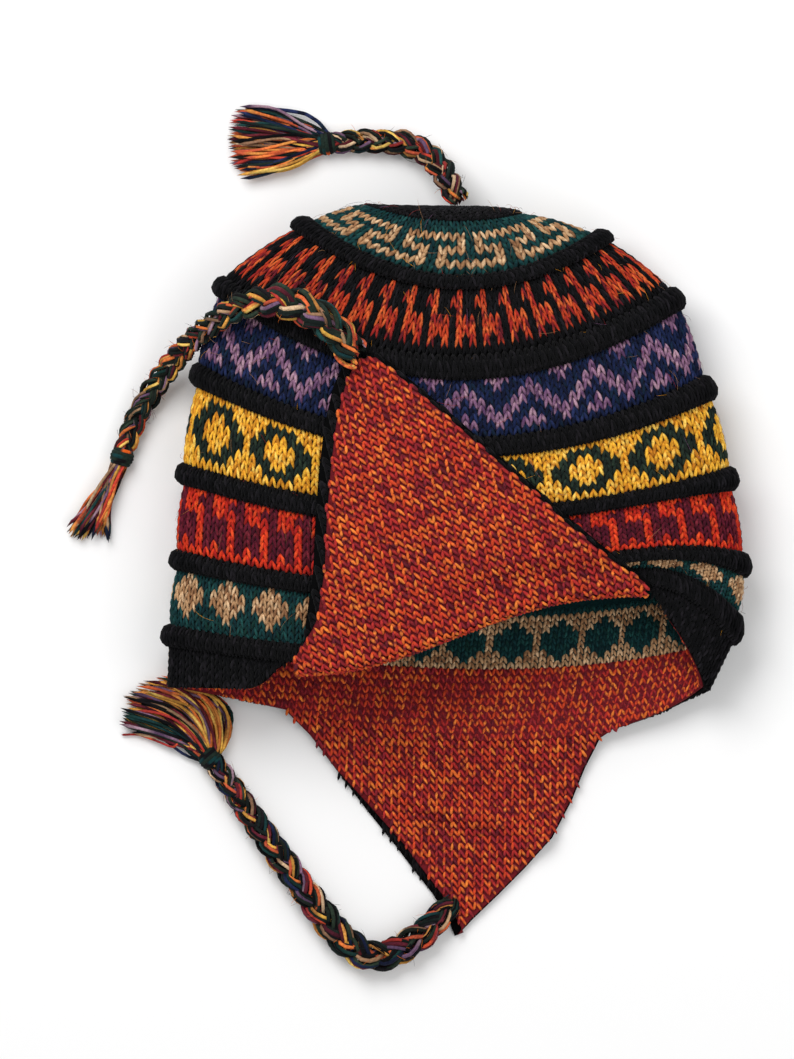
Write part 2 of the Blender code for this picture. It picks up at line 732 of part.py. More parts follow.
def lock_mesh(name, start, tip, bow, width):
    """One tapered lock of yarn from the tie to its tip, lying on the surface."""
    bm = bmesh.new()
    rows = []
    along = (tip - start).normalized()
    side = Vector((-along.y, along.x, 0.0)).normalized()
    for share, wide in zip(LOCK_SHARES, LOCK_WIDTHS):
        radius = LOCK_RADIUS * width * wide
        centre = start.lerp(tip, share) + side * bow * 4 * share * (1 - share)
        centre.z = max(centre.z, radius * LOCK_FLATNESS)
        row = []
        for i in range(LOCK_SIDES):
            angle = 2 * math.pi * (i + 0.5) / LOCK_SIDES
            height = Vector((0.0, 0.0, math.sin(angle) * radius * LOCK_FLATNESS))
            row.append(bm.verts.new(centre + side * math.cos(angle) * radius + height))
        rows.append(row)
    for first, second in zip(rows, rows[1:]):
        for i in range(LOCK_SIDES):
            j = (i + 1) % LOCK_SIDES
            bm.faces.new((first[i], first[j], second[j], second[i]))
    bm.faces.new(list(reversed(rows[0])))
    bm.faces.new(rows[-1])
    return finish_mesh(name, bm)


def tassel(name, braid_name, collection, cutters):
    """Locks of yarn joined to the head at the braid's tie."""
    before, tie = [Vector(row[:3]) for row in braid_rows(braid_name)[-2:]]
    along = (tie - before).normalized()
    centre = tie + along * (TIE_RADIUS + GAP)
    centre.z = max(centre.z, TIE_RADIUS)
    bm = bmesh.new()
    bmesh.ops.create_uvsphere(bm, u_segments=HEAD_SIDES, v_segments=LOCK_SIDES, radius=TIE_RADIUS)
    bmesh.ops.translate(bm, verts=bm.verts, vec=centre)
    mesh = bpy.data.meshes.new(name)
    bm.to_mesh(mesh)
    bm.free()
    head = new_object(name, mesh, collection, "yarn")
    for number, row in enumerate(TASSEL_LOCKS[name]):
        values = dict(zip(LOCK_COLUMNS, row))
        tip = tie + Vector((values["across"], -values["down"], 0.0)) * TASSEL_LENGTH
        tip.z = LOCK_RADIUS * LOCK_TIP_HEIGHT
        start = centre.lerp(tip, LOCK_START)
        mesh = lock_mesh(name, start, tip, values["bow"] * TASSEL_LENGTH, values["width"])
        lock = bpy.data.objects.new(f"{name}_lock_{number}", mesh)
        lock.hide_render = True
        lock.display_type = "WIRE"
        cutters.objects.link(lock)
        joined = head.modifiers.new(f"lock_{number}", "BOOLEAN")
        joined.operation = "UNION"
        joined.solver = "EXACT"
        joined.object = lock
    return head


CORD_NODES = ("top_braid", "near_braid", "far_braid", "top_tassel", "near_tassel", "far_tassel")


def centre_on_surface(collection, cutters):
    """Moves everything so that the hat without its cords is centred over the origin, at height 0."""
    bpy.context.view_layer.update()
    corners = [
        obj.matrix_world @ vertex.co
        for obj in collection.objects
        if obj.name not in CORD_NODES
        for vertex in obj.data.vertices
    ]
    low = [min(corner[i] for corner in corners) for i in range(3)]
    high = [max(corner[i] for corner in corners) for i in range(3)]
    shift = Vector((-(low[0] + high[0]) / 2, -(low[1] + high[1]) / 2, -low[2]))
    for obj in [*collection.objects, *cutters.objects]:
        obj.location = shift
    return shift


def main():
    clear_scene()
    hat = new_collection("chullo_hat")
    cutters = new_collection("lock_guides")
    cutters.hide_render = True

    crown_cap(hat)
    band("key_band", 1.0, 2.0, hat, "teal")
    band("lightning_band", 3.0, 4.0, hat, "lightning")
    band("zigzag_band", 5.0, 6.0, hat, "navy")
    band("ring_band", 7.0, 8.0, hat, "gold")
    band("stepped_band", 9.0, 10.0, hat, "red")
    band("diamond_band", 11.0, 12.0, hat, "teal", swell=0.0)
    for number in range(1, 7):
        welt(f"welt_{number}", 2.0 * number, 2.0 * number + 1.0, hat, under_flap=number == 6)

    loft("rim_band", rim_sections(0.0, -WALL), RIM_ORDER, hat, "black", closed=False)
    lining_top = -WALL - LINING_GAP
    loft("rim_lining", rim_sections(lining_top, lining_top - LINING), RIM_ORDER, hat, "rust", closed=False)
    diamond_lining(hat)

    under, upper = folded_sheet(FOLD_RADIUS, WALL, FLAP_EDGE_LEFT, FLAP_EDGE_RIGHT)
    sheet_solid("near_flap", under, upper, hat, "black")
    under, upper = folded_sheet(FOLD_RADIUS + WALL + LINING_GAP, LINING, 0.0, 0.0)
    sheet_solid("near_flap_lining", under, upper, hat, "rust")
    under, upper = flat_sheet(0.0, WALL, 0.0, 0.0)
    sheet_solid("far_flap", under, upper, hat, "black")
    under, upper = flat_sheet(WALL + LINING_GAP, LINING, FLAT_EDGE_LEFT, FLAT_EDGE_RIGHT)
    sheet_solid("far_flap_lining", under, upper, hat, "rust")

    for side in ("top", "near", "far"):
        braid(f"{side}_braid", hat)
        tassel(f"{side}_tassel", f"{side}_braid", hat, cutters)
    print("moved by", tuple(round(value, 5) for value in centre_on_surface(hat, cutters)))


main()
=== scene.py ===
import json
import math
import bpy
import bmesh
import numpy as np
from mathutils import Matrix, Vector

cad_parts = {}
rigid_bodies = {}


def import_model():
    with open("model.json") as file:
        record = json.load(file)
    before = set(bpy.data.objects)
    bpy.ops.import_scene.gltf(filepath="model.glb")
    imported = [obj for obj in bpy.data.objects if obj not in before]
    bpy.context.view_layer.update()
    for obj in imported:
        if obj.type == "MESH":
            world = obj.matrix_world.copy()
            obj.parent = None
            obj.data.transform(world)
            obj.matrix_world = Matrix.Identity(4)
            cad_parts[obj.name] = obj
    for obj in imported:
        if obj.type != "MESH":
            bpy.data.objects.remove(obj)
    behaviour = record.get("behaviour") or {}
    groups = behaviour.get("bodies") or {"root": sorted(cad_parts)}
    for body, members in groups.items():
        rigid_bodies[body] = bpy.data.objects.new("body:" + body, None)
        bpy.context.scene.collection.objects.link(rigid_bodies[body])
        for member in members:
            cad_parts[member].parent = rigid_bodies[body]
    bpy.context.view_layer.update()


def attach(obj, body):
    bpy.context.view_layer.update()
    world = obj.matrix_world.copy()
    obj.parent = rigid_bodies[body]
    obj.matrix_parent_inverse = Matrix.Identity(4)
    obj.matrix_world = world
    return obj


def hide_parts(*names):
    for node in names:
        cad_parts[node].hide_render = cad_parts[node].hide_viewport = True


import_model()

# The hat's own sizes in metres, and where it stands in the frame
hat = {
    "width": 0.267,
    "crown": 0.224,
    "thickness": 0.062,
    "edgeHeight": 0.024,
    "restHeight": 0.0013,
    "wall": 0.0022,
    "lining": 0.0018,
    "liningGap": 0.0006,
    "pullDepth": 0.035,
    "dipDepth": 0.004,
    "leastRim": 0.006,
    "nearRoundness": 0.85,
    "farRoundness": 0.6,
    "gatherStart": -0.60,
    "gatherPeak": 0.50,
    "foldLeft": -0.62,
    "foldRight": 0.74,
    "rimLeft": -0.645,
    "rimRight": 0.79,
    "climbStart": -0.72,
    "climb": 0.17,
    "place": (0.00052, 0.16891, 0.0),
}

# Rings of the crown from the cap's edge to the hem: left, right, left down, right down, sag, far sag, skew, top, pull, dip
rings = np.array([
    (-0.322, 0.218, -0.004, 0.015, 0.024, 0.024, 0.0, 0.80, 0.0, 0.0),
    (-0.503, 0.469, 0.033, 0.058, 0.098, 0.098, 0.0, 0.90, 0.0, 0.0),
    (-0.563, 0.524, 0.046, 0.073, 0.109, 0.109, 0.0, 0.92, 0.0, 0.0),
    (-0.807, 0.733, 0.147, 0.170, 0.150, 0.150, 0.0, 0.97, 0.0, 0.0),
    (-0.821, 0.765, 0.180, 0.207, 0.160, 0.160, 0.0, 0.98, 0.0, 0.0),
    (-0.897, 0.848, 0.324, 0.351, 0.140, 0.140, 0.0, 1.00, 0.0, 0.0),
    (-0.897, 0.873, 0.365, 0.394, 0.133, 0.133, 0.0, 1.00, 0.0, 0.0),
    (-0.949, 0.939, 0.531, 0.539, 0.087, 0.087, 0.0, 0.99, 0.0, 0.0),
    (-0.943, 0.943, 0.568, 0.581, 0.088, 0.088, 0.0, 0.99, 0.10, 0.0),
    (-0.970, 0.984, 0.710, 0.716, 0.071, 0.071, 0.0, 0.97, 0.33, 0.0),
    (-0.967, 0.988, 0.745, 0.759, 0.065, 0.065, 0.0, 0.96, 0.47, 0.4),
    (-0.995, 0.967, 0.865, 0.840, 0.062, 0.060, 0.0, 0.92, 0.88, 1.0),
    (-0.995, 0.953, 0.902, 0.896, 0.052, 0.056, 0.02, 0.91, 1.00, 0.5),
    (-1.002, 0.869, 0.994, 1.000, 0.004, 0.104, 0.062, 0.89, 1.45, 0.0),
])
apex = {"across": 0.02, "down": 0.002, "height": 0.45}
foldRing, hemRing = 13.0, 14.0
stationStep, turnColumns = 0.05, 360

# Yarn colours by daylight, 0 to 255, each a heather of a few shades
yarns = {
    "black": ((10, 10, 12), (16, 15, 18), (6, 6, 8), (27, 25, 29)),
    "teal": ((20, 56, 58), (14, 42, 46), (30, 72, 70), (18, 50, 46)),
    "tan": ((182, 144, 106), (154, 114, 80), (210, 176, 138), (130, 92, 64)),
    "bolt": ((180, 62, 34), (148, 38, 34), (206, 96, 48), (98, 28, 36)),
    "navy": ((22, 32, 64), (16, 22, 46), (34, 44, 82), (18, 34, 54)),
    "mauve": ((138, 102, 128), (110, 78, 108), (166, 132, 148), (86, 58, 90)),
    "gold": ((234, 176, 56), (212, 146, 40), (244, 200, 92), (188, 120, 34)),
    "green": ((30, 42, 36), (22, 32, 30), (42, 56, 44), (26, 34, 28)),
    "plum": ((92, 24, 40), (72, 18, 34), (112, 36, 48), (84, 20, 30)),
    "red": ((204, 56, 30), (180, 40, 28), (222, 78, 38), (158, 32, 28)),
    "rust": ((198, 68, 38), (218, 106, 46), (170, 46, 44), (132, 36, 44), (230, 128, 54), (98, 30, 40)),
    "orange": ((216, 92, 30), (232, 118, 38), (190, 72, 28), (220, 140, 52)),
}
randomiser = np.random.default_rng(41)


def toLinear(colours):
    colours = np.asarray(colours, float) / 255
    return np.where(colours > 0.04045, ((colours + 0.055) / 1.055) ** 2.4, colours / 12.92)


def unit(vectors):
    return vectors / np.maximum(np.linalg.norm(vectors, axis=-1, keepdims=True), 1e-12)


def smoothStep(share):
    share = np.clip(share, 0, 1)
    return share * share * (3 - 2 * share)


# The crown's surface as a fine net of points

def gatherShare(across):
    span = (hat["gatherPeak"] - across) / (hat["gatherPeak"] - hat["gatherStart"])
    rising = np.cos(np.clip(span, 0, 1) * math.pi / 2) ** 2
    falling = np.clip(1 - ((across - hat["gatherPeak"]) / (1 - hat["gatherPeak"])) ** 3, 0, 1)
    return np.where(across < hat["gatherPeak"], rising, falling)


def ringPoints(stations, angles):
    spots = np.clip(stations - 1, 0, len(rings) - 1)
    low = np.minimum(spots.astype(int), len(rings) - 2)
    share = (spots - low)[:, None]
    mixed = rings[low] * (1 - share) + rings[low + 1] * share
    left, right, leftDown, rightDown, sag, farSag, skew, top, pull, dip = (mixed[:, [i]] for i in range(10))
    across, facing = np.sin(angles), np.cos(angles)
    pulled = gatherShare(across)
    hem = np.clip(stations - foldRing, 0, None)[:, None]
    x = ((right + left) / 2 + (right - left) / 2 * across) * hat["width"] / 2
    down = (leftDown + rightDown) / 2 + (rightDown - leftDown) / 2 * across
    nearY = pull * hat["pullDepth"] * pulled - (down + sag * facing**2) * hat["crown"]
    climb = np.clip((across - hat["climbStart"]) / (hat["foldLeft"] - hat["climbStart"]), 0, 2)
    nearY += np.where(across < hat["gatherPeak"], hem * hat["climb"] * hat["pullDepth"] * climb**2, 0)
    if hem.max() > 0:
        fold = ringPoints(np.full(len(stations), foldRing), angles)[..., 1]
        nearY = np.where(hem > 0, np.minimum(nearY, fold - hem * hat["leastRim"]), nearY)
    farY = -(down + (farSag + skew * across) * facing**2) * hat["crown"]
    steep = np.abs(facing)
    nearZ = hat["edgeHeight"] + (top * hat["thickness"] - hat["edgeHeight"]) * steep ** hat["nearRoundness"]
    nearZ = nearZ - dip * hat["dipDepth"] * pulled
    farZ = hat["edgeHeight"] - (hat["edgeHeight"] - hat["restHeight"]) * steep ** hat["farRoundness"]
    near = facing > 1e-9
    return np.stack([x, np.where(near, nearY, farY), np.where(near, nearZ, farZ)], axis=-1)


def evenAngles(stations, half):
    # Angles of one half of each ring, near 0 or far 1, at even lengths along it
    angles = np.linspace(-math.pi / 2, math.pi / 2, 181) + half * math.pi
    points = ringPoints(stations, np.tile(angles, (len(stations), 1)))
    steps = np.linalg.norm(np.diff(points, axis=1), axis=2)
    lengths = np.concatenate([np.zeros((len(stations), 1)), np.cumsum(steps, axis=1)], axis=1)
    even = np.linspace(0, 1, turnColumns // 2 + 1)
    return np.array([np.interp(even, row / row[-1], angles) for row in lengths])


def crownNet():
    stations = np.arange(1, hemRing + stationStep / 2, stationStep)
    near, far = evenAngles(stations, 0), evenAngles(stations, 1)
    body = ringPoints(stations, np.concatenate([near, far[:, 1:]], axis=1))
    top = np.array([apex["across"] * hat["width"] / 2, -apex["down"] * hat["crown"], apex["height"] * hat["thickness"]])
    shares = np.arange(0, 1 - stationStep / 2, stationStep) * math.pi / 2
    cap = top + (body[0] - top) * np.sin(shares)[:, None, None]
    cap[..., 1] = top[1] + (body[0][:, 1] - top[1]) * (1 - np.cos(shares))[:, None]
    return np.concatenate([cap, body]) + np.array(hat["place"])


net = crownNet()
meridians = np.concatenate([np.zeros((1, turnColumns + 1)), np.cumsum(np.linalg.norm(np.diff(net, axis=0), axis=2), axis=0)])
print("hat: crown net", net.shape)


def fromNet(values, station, turn):
    row = np.clip(station / stationStep, 0, len(values) - 1.0001)
    column = (turn % 1.0) * turnColumns
    r, c = row.astype(int), np.minimum(column.astype(int), turnColumns - 1)
    dr, dc = row - r, column - c
    if values.ndim == 3:
        dr, dc = dr[..., None], dc[..., None]
    upper = values[r, c] * (1 - dc) + values[r, c + 1] * dc
    lower = values[r + 1, c] * (1 - dc) + values[r + 1, c + 1] * dc
    return upper * (1 - dr) + lower * dr


def crownPoint(station, turn):
    return fromNet(net, np.asarray(station, float), np.asarray(turn, float))


def netNormals():
    rows = np.arange(len(net))
    columns = np.arange(turnColumns + 1)
    above, below = net[np.clip(rows - 2, 0, None)], net[np.clip(rows + 2, None, len(net) - 1)]
    before, after = net[:, (columns - 2) % turnColumns], net[:, (columns + 2) % turnColumns]
    normals = unit(np.cross(below - above, after - before))
    normals[0] = (0, 1, 0)
    return normals


normalNet = netNormals()


def crownNormal(station, turn):
    return unit(fromNet(normalNet, np.asarray(station, float), np.asarray(turn, float)))


def levelStation(first, last):
    # A function from (share, turn) to the station at that share of the length between two rings
    shares = np.linspace(-0.2, 1.2, 57)
    stations = np.arange(len(net)) * stationStep
    table = np.empty((57, turnColumns + 1))
    for c in range(turnColumns + 1):
        ends = np.interp((first, last), stations, meridians[:, c])
        table[:, c] = np.interp(ends[0] + (ends[1] - ends[0]) * shares, meridians[:, c], stations)

    def stationAt(share, turn):
        row = np.clip((share + 0.2) / 0.025, 0, 55.999)
        column = (turn % 1.0) * turnColumns
        r, c = row.astype(int), np.minimum(column.astype(int), turnColumns - 1)
        dr, dc = row - r, column - c
        upper = table[r, c] * (1 - dc) + table[r, c + 1] * dc
        lower = table[r + 1, c] * (1 - dc) + table[r + 1, c + 1] * dc
        return upper * (1 - dr) + lower * dr
    return stationAt


def restShare(turn):
    # 1 on the near side and the edges, 0 where the hat lies on the floor
    turn = turn % 1.0
    return np.where(turn <= 0.5, 1.0, 1 - np.clip(np.sin((turn - 0.5) * 2 * math.pi), 0, 1) ** hat["farRoundness"])


def turnOf(station, across, near=True):
    angles = np.linspace(-math.pi / 2, math.pi / 2, 721) + (0 if near else math.pi)
    points = ringPoints(np.array([station]), angles[None])[0]
    lengths = np.concatenate([[0], np.cumsum(np.linalg.norm(np.diff(points, axis=0), axis=1))])
    angle = math.asin(across) if near else math.pi - math.asin(across)
    return float(np.interp(angle, angles, lengths / lengths[-1])) / 2 + (0 if near else 0.5)


# Shapes that repeat: one small closed tube, made once, is laid along many short paths

def tubeTemplate(sides, tubeRings):
    bm = bmesh.new()
    bmesh.ops.create_uvsphere(bm, u_segments=sides, v_segments=tubeRings + 1, radius=1.0)
    bmesh.ops.triangulate(bm, faces=bm.faces[:])
    bmesh.ops.recalc_face_normals(bm, faces=bm.faces[:])
    bm.verts.ensure_lookup_table()
    heights = np.array([v.co.z for v in bm.verts])
    ringOf = np.rint(np.arccos(np.clip(-heights, -1, 1)) / math.pi * (tubeRings + 1)).astype(int)
    flat = unit(np.array([(v.co.x, v.co.y) for v in bm.verts]))
    flat[(ringOf == 0) | (ringOf == tubeRings + 1)] = 0
    faces = np.array([[v.index for v in face.verts] for face in bm.faces])
    bm.free()
    return ringOf, flat, faces


def layTubes(name, paths, normals, halfWidths, halfHeights, colours, sides, material):
    # paths and normals are (tubes, points, 3), halfWidths and halfHeights (tubes, points), colours (tubes, points, 3)
    count, steps = paths.shape[:2]
    ringOf, flat, faces = tubeTemplate(sides, steps - 2)
    along = unit(np.gradient(paths, axis=1))
    sideways = unit(np.cross(normals, along))
    upward = np.cross(along, sideways)
    points = paths[:, ringOf]
    points = points + sideways[:, ringOf] * (flat[:, 0] * halfWidths[:, ringOf])[..., None]
    points = points + upward[:, ringOf] * (flat[:, 1] * halfHeights[:, ringOf])[..., None]
    points[..., 2] = np.maximum(points[..., 2], 0.0001)
    allFaces = (faces[None] + np.arange(count)[:, None, None] * len(ringOf)).reshape(-1, 3)
    mesh = bpy.data.meshes.new(name)
    mesh.vertices.add(count * len(ringOf))
    mesh.vertices.foreach_set("co", points.ravel().astype(np.float32))
    mesh.loops.add(allFaces.size)
    mesh.loops.foreach_set("vertex_index", allFaces.ravel().astype(np.int32))
    mesh.polygons.add(len(allFaces))
    mesh.polygons.foreach_set("loop_start", np.arange(0, allFaces.size, 3, dtype=np.int32))
    mesh.polygons.foreach_set("use_smooth", np.ones(len(allFaces), bool))
    mesh.update(calc_edges=True)
    paint = mesh.color_attributes.new("yarnColour", "FLOAT_COLOR", "POINT")
    shades = np.ones((count, len(ringOf), 4))
    shades[..., :3] = colours[:, ringOf]
    paint.data.foreach_set("color", shades.ravel().astype(np.float32))
    mesh.materials.append(material)
    piece = bpy.data.objects.new(name, mesh)
    bpy.context.scene.collection.objects.link(piece)
    return piece


def addNode(tree, kind, x, y, **sockets):
    node = tree.nodes.new(kind)
    node.location = (x, y)
    for key, value in sockets.items():
        node.inputs[key.replace("_", " ")].default_value = value
    return node


def yarnMaterial(name, fuzz=0.025, fibre=2600.0, depth=0.35):
    # Spun yarn: the painted colour, mottled by its fibres, with a soft sheen and fine hairs as bump
    material = bpy.data.materials.new(name)
    material.use_nodes = True
    tree = material.node_tree
    shader = tree.nodes["Principled BSDF"]
    shader.inputs["Roughness"].default_value = 0.92
    shader.inputs["Specular IOR Level"].default_value = 0.07
    shader.inputs["Sheen Weight"].default_value = fuzz
    shader.inputs["Sheen Roughness"].default_value = 0.55
    place = addNode(tree, "ShaderNodeTexCoord", -1100, 0)
    paint = addNode(tree, "ShaderNodeAttribute", -900, 250)
    paint.attribute_name = "yarnColour"
    mottle = addNode(tree, "ShaderNodeTexNoise", -900, 0, Scale=fibre * 0.35, Detail=3.0, Roughness=0.6)
    hairs = addNode(tree, "ShaderNodeTexNoise", -900, -300, Scale=fibre, Detail=2.0, Roughness=0.7)
    spread = addNode(tree, "ShaderNodeMapRange", -650, 0, From_Min=0.3, From_Max=0.7, To_Min=0.66, To_Max=1.28)
    shade = tree.nodes.new("ShaderNodeVectorMath")
    shade.operation = "SCALE"
    shade.location = (-400, 200)
    bump = addNode(tree, "ShaderNodeBump", -400, -300, Strength=depth, Distance=0.0004)
    tree.links.new(place.outputs["Object"], mottle.inputs["Vector"])
    tree.links.new(place.outputs["Object"], hairs.inputs["Vector"])
    tree.links.new(mottle.outputs["Fac"], spread.inputs["Value"])
    tree.links.new(paint.outputs["Color"], shade.inputs["Vector"])
    tree.links.new(spread.outputs["Result"], shade.inputs["Scale"])
    tree.links.new(shade.outputs["Vector"], shader.inputs["Base Color"])
    tree.links.new(hairs.outputs["Fac"], bump.inputs["Height"])
    tree.links.new(bump.outputs["Normal"], shader.inputs["Normal"])
    return material


def clothMaterial(name, yarn, dim=0.5, shade=0):
    # The ground between the stitches in one plain colour: the yarn's heather colour number shade, darkened by dim as
    # painted shade in the gaps
    material = yarnMaterial(name, fuzz=0.0)
    tree = material.node_tree
    # dim darkens the yarn's colour: painted shade between the stitches
    colour = toLinear(yarns[yarn][shade]) * dim
    paint = next(node for node in tree.nodes if node.type == "ATTRIBUTE")
    plain = addNode(tree, "ShaderNodeRGB", -900, 450)
    plain.outputs[0].default_value = (*colour, 1.0)
    scale = next(node for node in tree.nodes if node.type == "VECT_MATH")
    tree.links.new(plain.outputs[0], scale.inputs["Vector"])
    tree.nodes.remove(paint)
    return material


yarnFinish = yarnMaterial("woolYarn")
print("hat: finishes are made")


def finishPiece(piece, slotName, *nodes):
    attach(piece, "root")
    if nodes:
        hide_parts(*nodes)
    return piece


def normalsOf(pointAt, u, v, side=1, step=0.25):
    down = pointAt(u, v + step) - pointAt(u, v - step)
    turn = pointAt(u + step, v) - pointAt(u - step, v)
    return unit(np.cross(down, turn)) * side


# One leg of a stitch, from the foot between its neighbours to where it slips under the next row
leg = {
    "across": (0.02, 0.10, 0.23, 0.36, 0.46),
    "down": (1.34, 0.98, 0.50, 0.00, -0.42),
    "rise": (-0.45, 0.50, 1.0, 0.45, -0.70),
    "girth": (0.0, 0.78, 1.0, 0.84, 0.0),
    "halfWidth": 0.222,
    "halfHeight": 0.21,
    "lift": 0.00040,
    "jitter": 0.035,
    "marl": 0.45,
}


rustLeg = {
    "across": (-0.02, 0.08, 0.24, 0.41, 0.52),
    "down": (1.16, 0.90, 0.50, 0.10, -0.20),
    "marl": 0.45,
    "halfWidth": 0.205,
    "halfHeight": 0.20,
    "jitter": 0.05,
}


def yarnShades(names, marl):
    # Linear colours (stitches, 2 legs, 5 points, 3) out of each stitch's heather
    shape = (len(names), 2, len(leg["across"]))
    colours = np.zeros((*shape, 3))
    for yarn in sorted(set(names)):
        chosen = np.flatnonzero(names == yarn)
        palette = toLinear(yarns[yarn])
        weights = np.array([0.40, 0.25, 0.20, 0.15] if len(palette) == 4 else [0.25, 0.17, 0.26, 0.17, 0.07, 0.08])
        legPick = randomiser.choice(len(palette), (len(chosen), 2, 1), p=weights)
        pointPick = randomiser.choice(len(palette), (len(chosen), 2, shape[2]), p=weights)
        pick = np.where(randomiser.random(pointPick.shape) < marl, pointPick, legPick)
        colours[chosen] = palette[pick]
    return colours * randomiser.uniform(0.86, 1.14, (*shape[:2], 1, 1))


def knit(name, pointAt, columns, rows, names, slotName, nodes, flip=False, side=1, slant=0.0, **changes):
    # Lays two legs for each stitch, whose column and row are counted on the surface pointAt
    facts = {**leg, **changes}
    count = len(columns)
    jitter = randomiser.uniform(-1, 1, (4, count, 2, 1)) * facts["jitter"]
    way = np.array([-1, 1])[None, :, None]
    down = np.array(facts["down"])[None, None] + jitter[0]
    down = 1 - down if flip else down
    across = 0.5 + way * np.array(facts["across"])[None, None] + jitter[1] + slant * (down - 0.5)
    u = columns[:, None, None] + across
    v = rows[:, None, None] + down
    points = pointAt(u, v)
    normals = normalsOf(pointAt, u, v, side)
    middle, level = columns + 0.5, rows + 0.5
    width = np.linalg.norm(pointAt(middle + 0.5, level) - pointAt(middle - 0.5, level), axis=-1)[:, None, None]
    rise = np.array(facts["rise"])[None, None] * (1 + jitter[2] * 4) * facts["lift"] * np.ones_like(u)
    paths = points + normals * rise[..., None]
    girth = np.array(facts["girth"])[None, None] * (1 + jitter[3] * 2)
    size = (count * 2, len(facts["across"]))
    piece = layTubes(
        name,
        paths.reshape(*size, 3),
        normals.reshape(*size, 3),
        (girth * facts["halfWidth"] * width).reshape(size),
        (girth * facts["halfHeight"] * width).reshape(size),
        yarnShades(names, facts["marl"]).reshape(*size, 3),
        4,
        yarnFinish,
    )
    return finishPiece(piece, slotName, *nodes)


def layCloth(name, outerAt, innerAt, columns, rows, closed, material, slotName, nodes):
    # A sheet with two sides: a grid laid on the inner surface, and its copy moved to the outer one
    bm = bmesh.new()
    bmesh.ops.create_grid(bm, x_segments=columns, y_segments=rows, size=0.5)
    rise = bm.verts.layers.float_vector.new("rise")
    verts = bm.verts[:]
    u = np.array([vert.co.x + 0.5 for vert in verts])
    v = np.array([vert.co.y + 0.5 for vert in verts])
    inner, outer = innerAt(u, v), outerAt(u, v)
    inner[..., 2], outer[..., 2] = np.maximum(inner[..., 2], 0.0001), np.maximum(outer[..., 2], 0.0001)
    for vert, low, high in zip(verts, inner, outer):
        vert.co = Vector(low)
        vert[rise] = Vector(high - low)
    if closed:
        bmesh.ops.remove_doubles(bm, verts=bm.verts[:], dist=1e-6)
    made = bmesh.ops.extrude_face_region(bm, geom=bm.faces[:], use_keep_orig=True)
    for item in made["geom"]:
        if isinstance(item, bmesh.types.BMVert):
            item.co += item[rise]
    bmesh.ops.recalc_face_normals(bm, faces=bm.faces[:])
    if bm.calc_volume(signed=True) < 0:
        bmesh.ops.reverse_faces(bm, faces=bm.faces[:])
    mesh = bpy.data.meshes.new(name)
    bm.to_mesh(mesh)
    bm.free()
    mesh.polygons.foreach_set("use_smooth", np.ones(len(mesh.polygons), bool))
    mesh.materials.append(material)
    piece = bpy.data.objects.new(name, mesh)
    bpy.context.scene.collection.objects.link(piece)
    return finishPiece(piece, slotName, *nodes)


def strayFibres(name, starts, normals, reach, height, shades, slotName, node=None):
    # Thin hairs that spring off the wool: each leaves its start sideways, arches and comes down
    count, steps = len(starts), 6
    share = np.linspace(0, 1, steps)[None, :, None]
    drift = unit(np.cross(normals, randomiser.normal(size=(count, 3))))
    bend = np.cross(normals, drift) * randomiser.uniform(-0.5, 0.5, (count, 1))
    long = randomiser.uniform(*reach, (count, 1, 1))
    paths = starts[:, None] + (drift[:, None] * share + bend[:, None] * share**2) * long
    paths = paths + normals[:, None] * (0.0002 + randomiser.uniform(*height, (count, 1, 1)) * 4 * share * (1.05 - share))
    paths[..., 2] = np.maximum(paths[..., 2], 0.0003)
    radii = np.full((count, steps), 0.00007)
    names = randomiser.choice(shades, count)
    colours = np.array([toLinear(yarns[shade][1]) for shade in names])[:, None].repeat(steps, axis=1)
    piece = layTubes(name, paths, np.cross(drift, bend + normals)[:, None].repeat(steps, axis=1), radii, radii, colours, 3, yarnFinish)
    return finishPiece(piece, slotName, *([node] if node else []))


# Camera

view = {"middle": (-0.02761, 0.01941), "distance": 8.0, "frameHeight": 0.4924, "sensor": 36.0}


def makeCamera():
    data = bpy.data.cameras.new("overhead")
    data.sensor_fit = "AUTO"
    data.sensor_width = view["sensor"]
    data.lens = view["sensor"] * view["distance"] / view["frameHeight"]
    data.clip_start, data.clip_end = 0.5, 20.0
    camera = bpy.data.objects.new("overhead", data)
    camera.location = (*view["middle"], view["distance"])
    bpy.context.scene.collection.objects.link(camera)
    bpy.context.scene.camera = camera


makeCamera()
print("hat: camera")

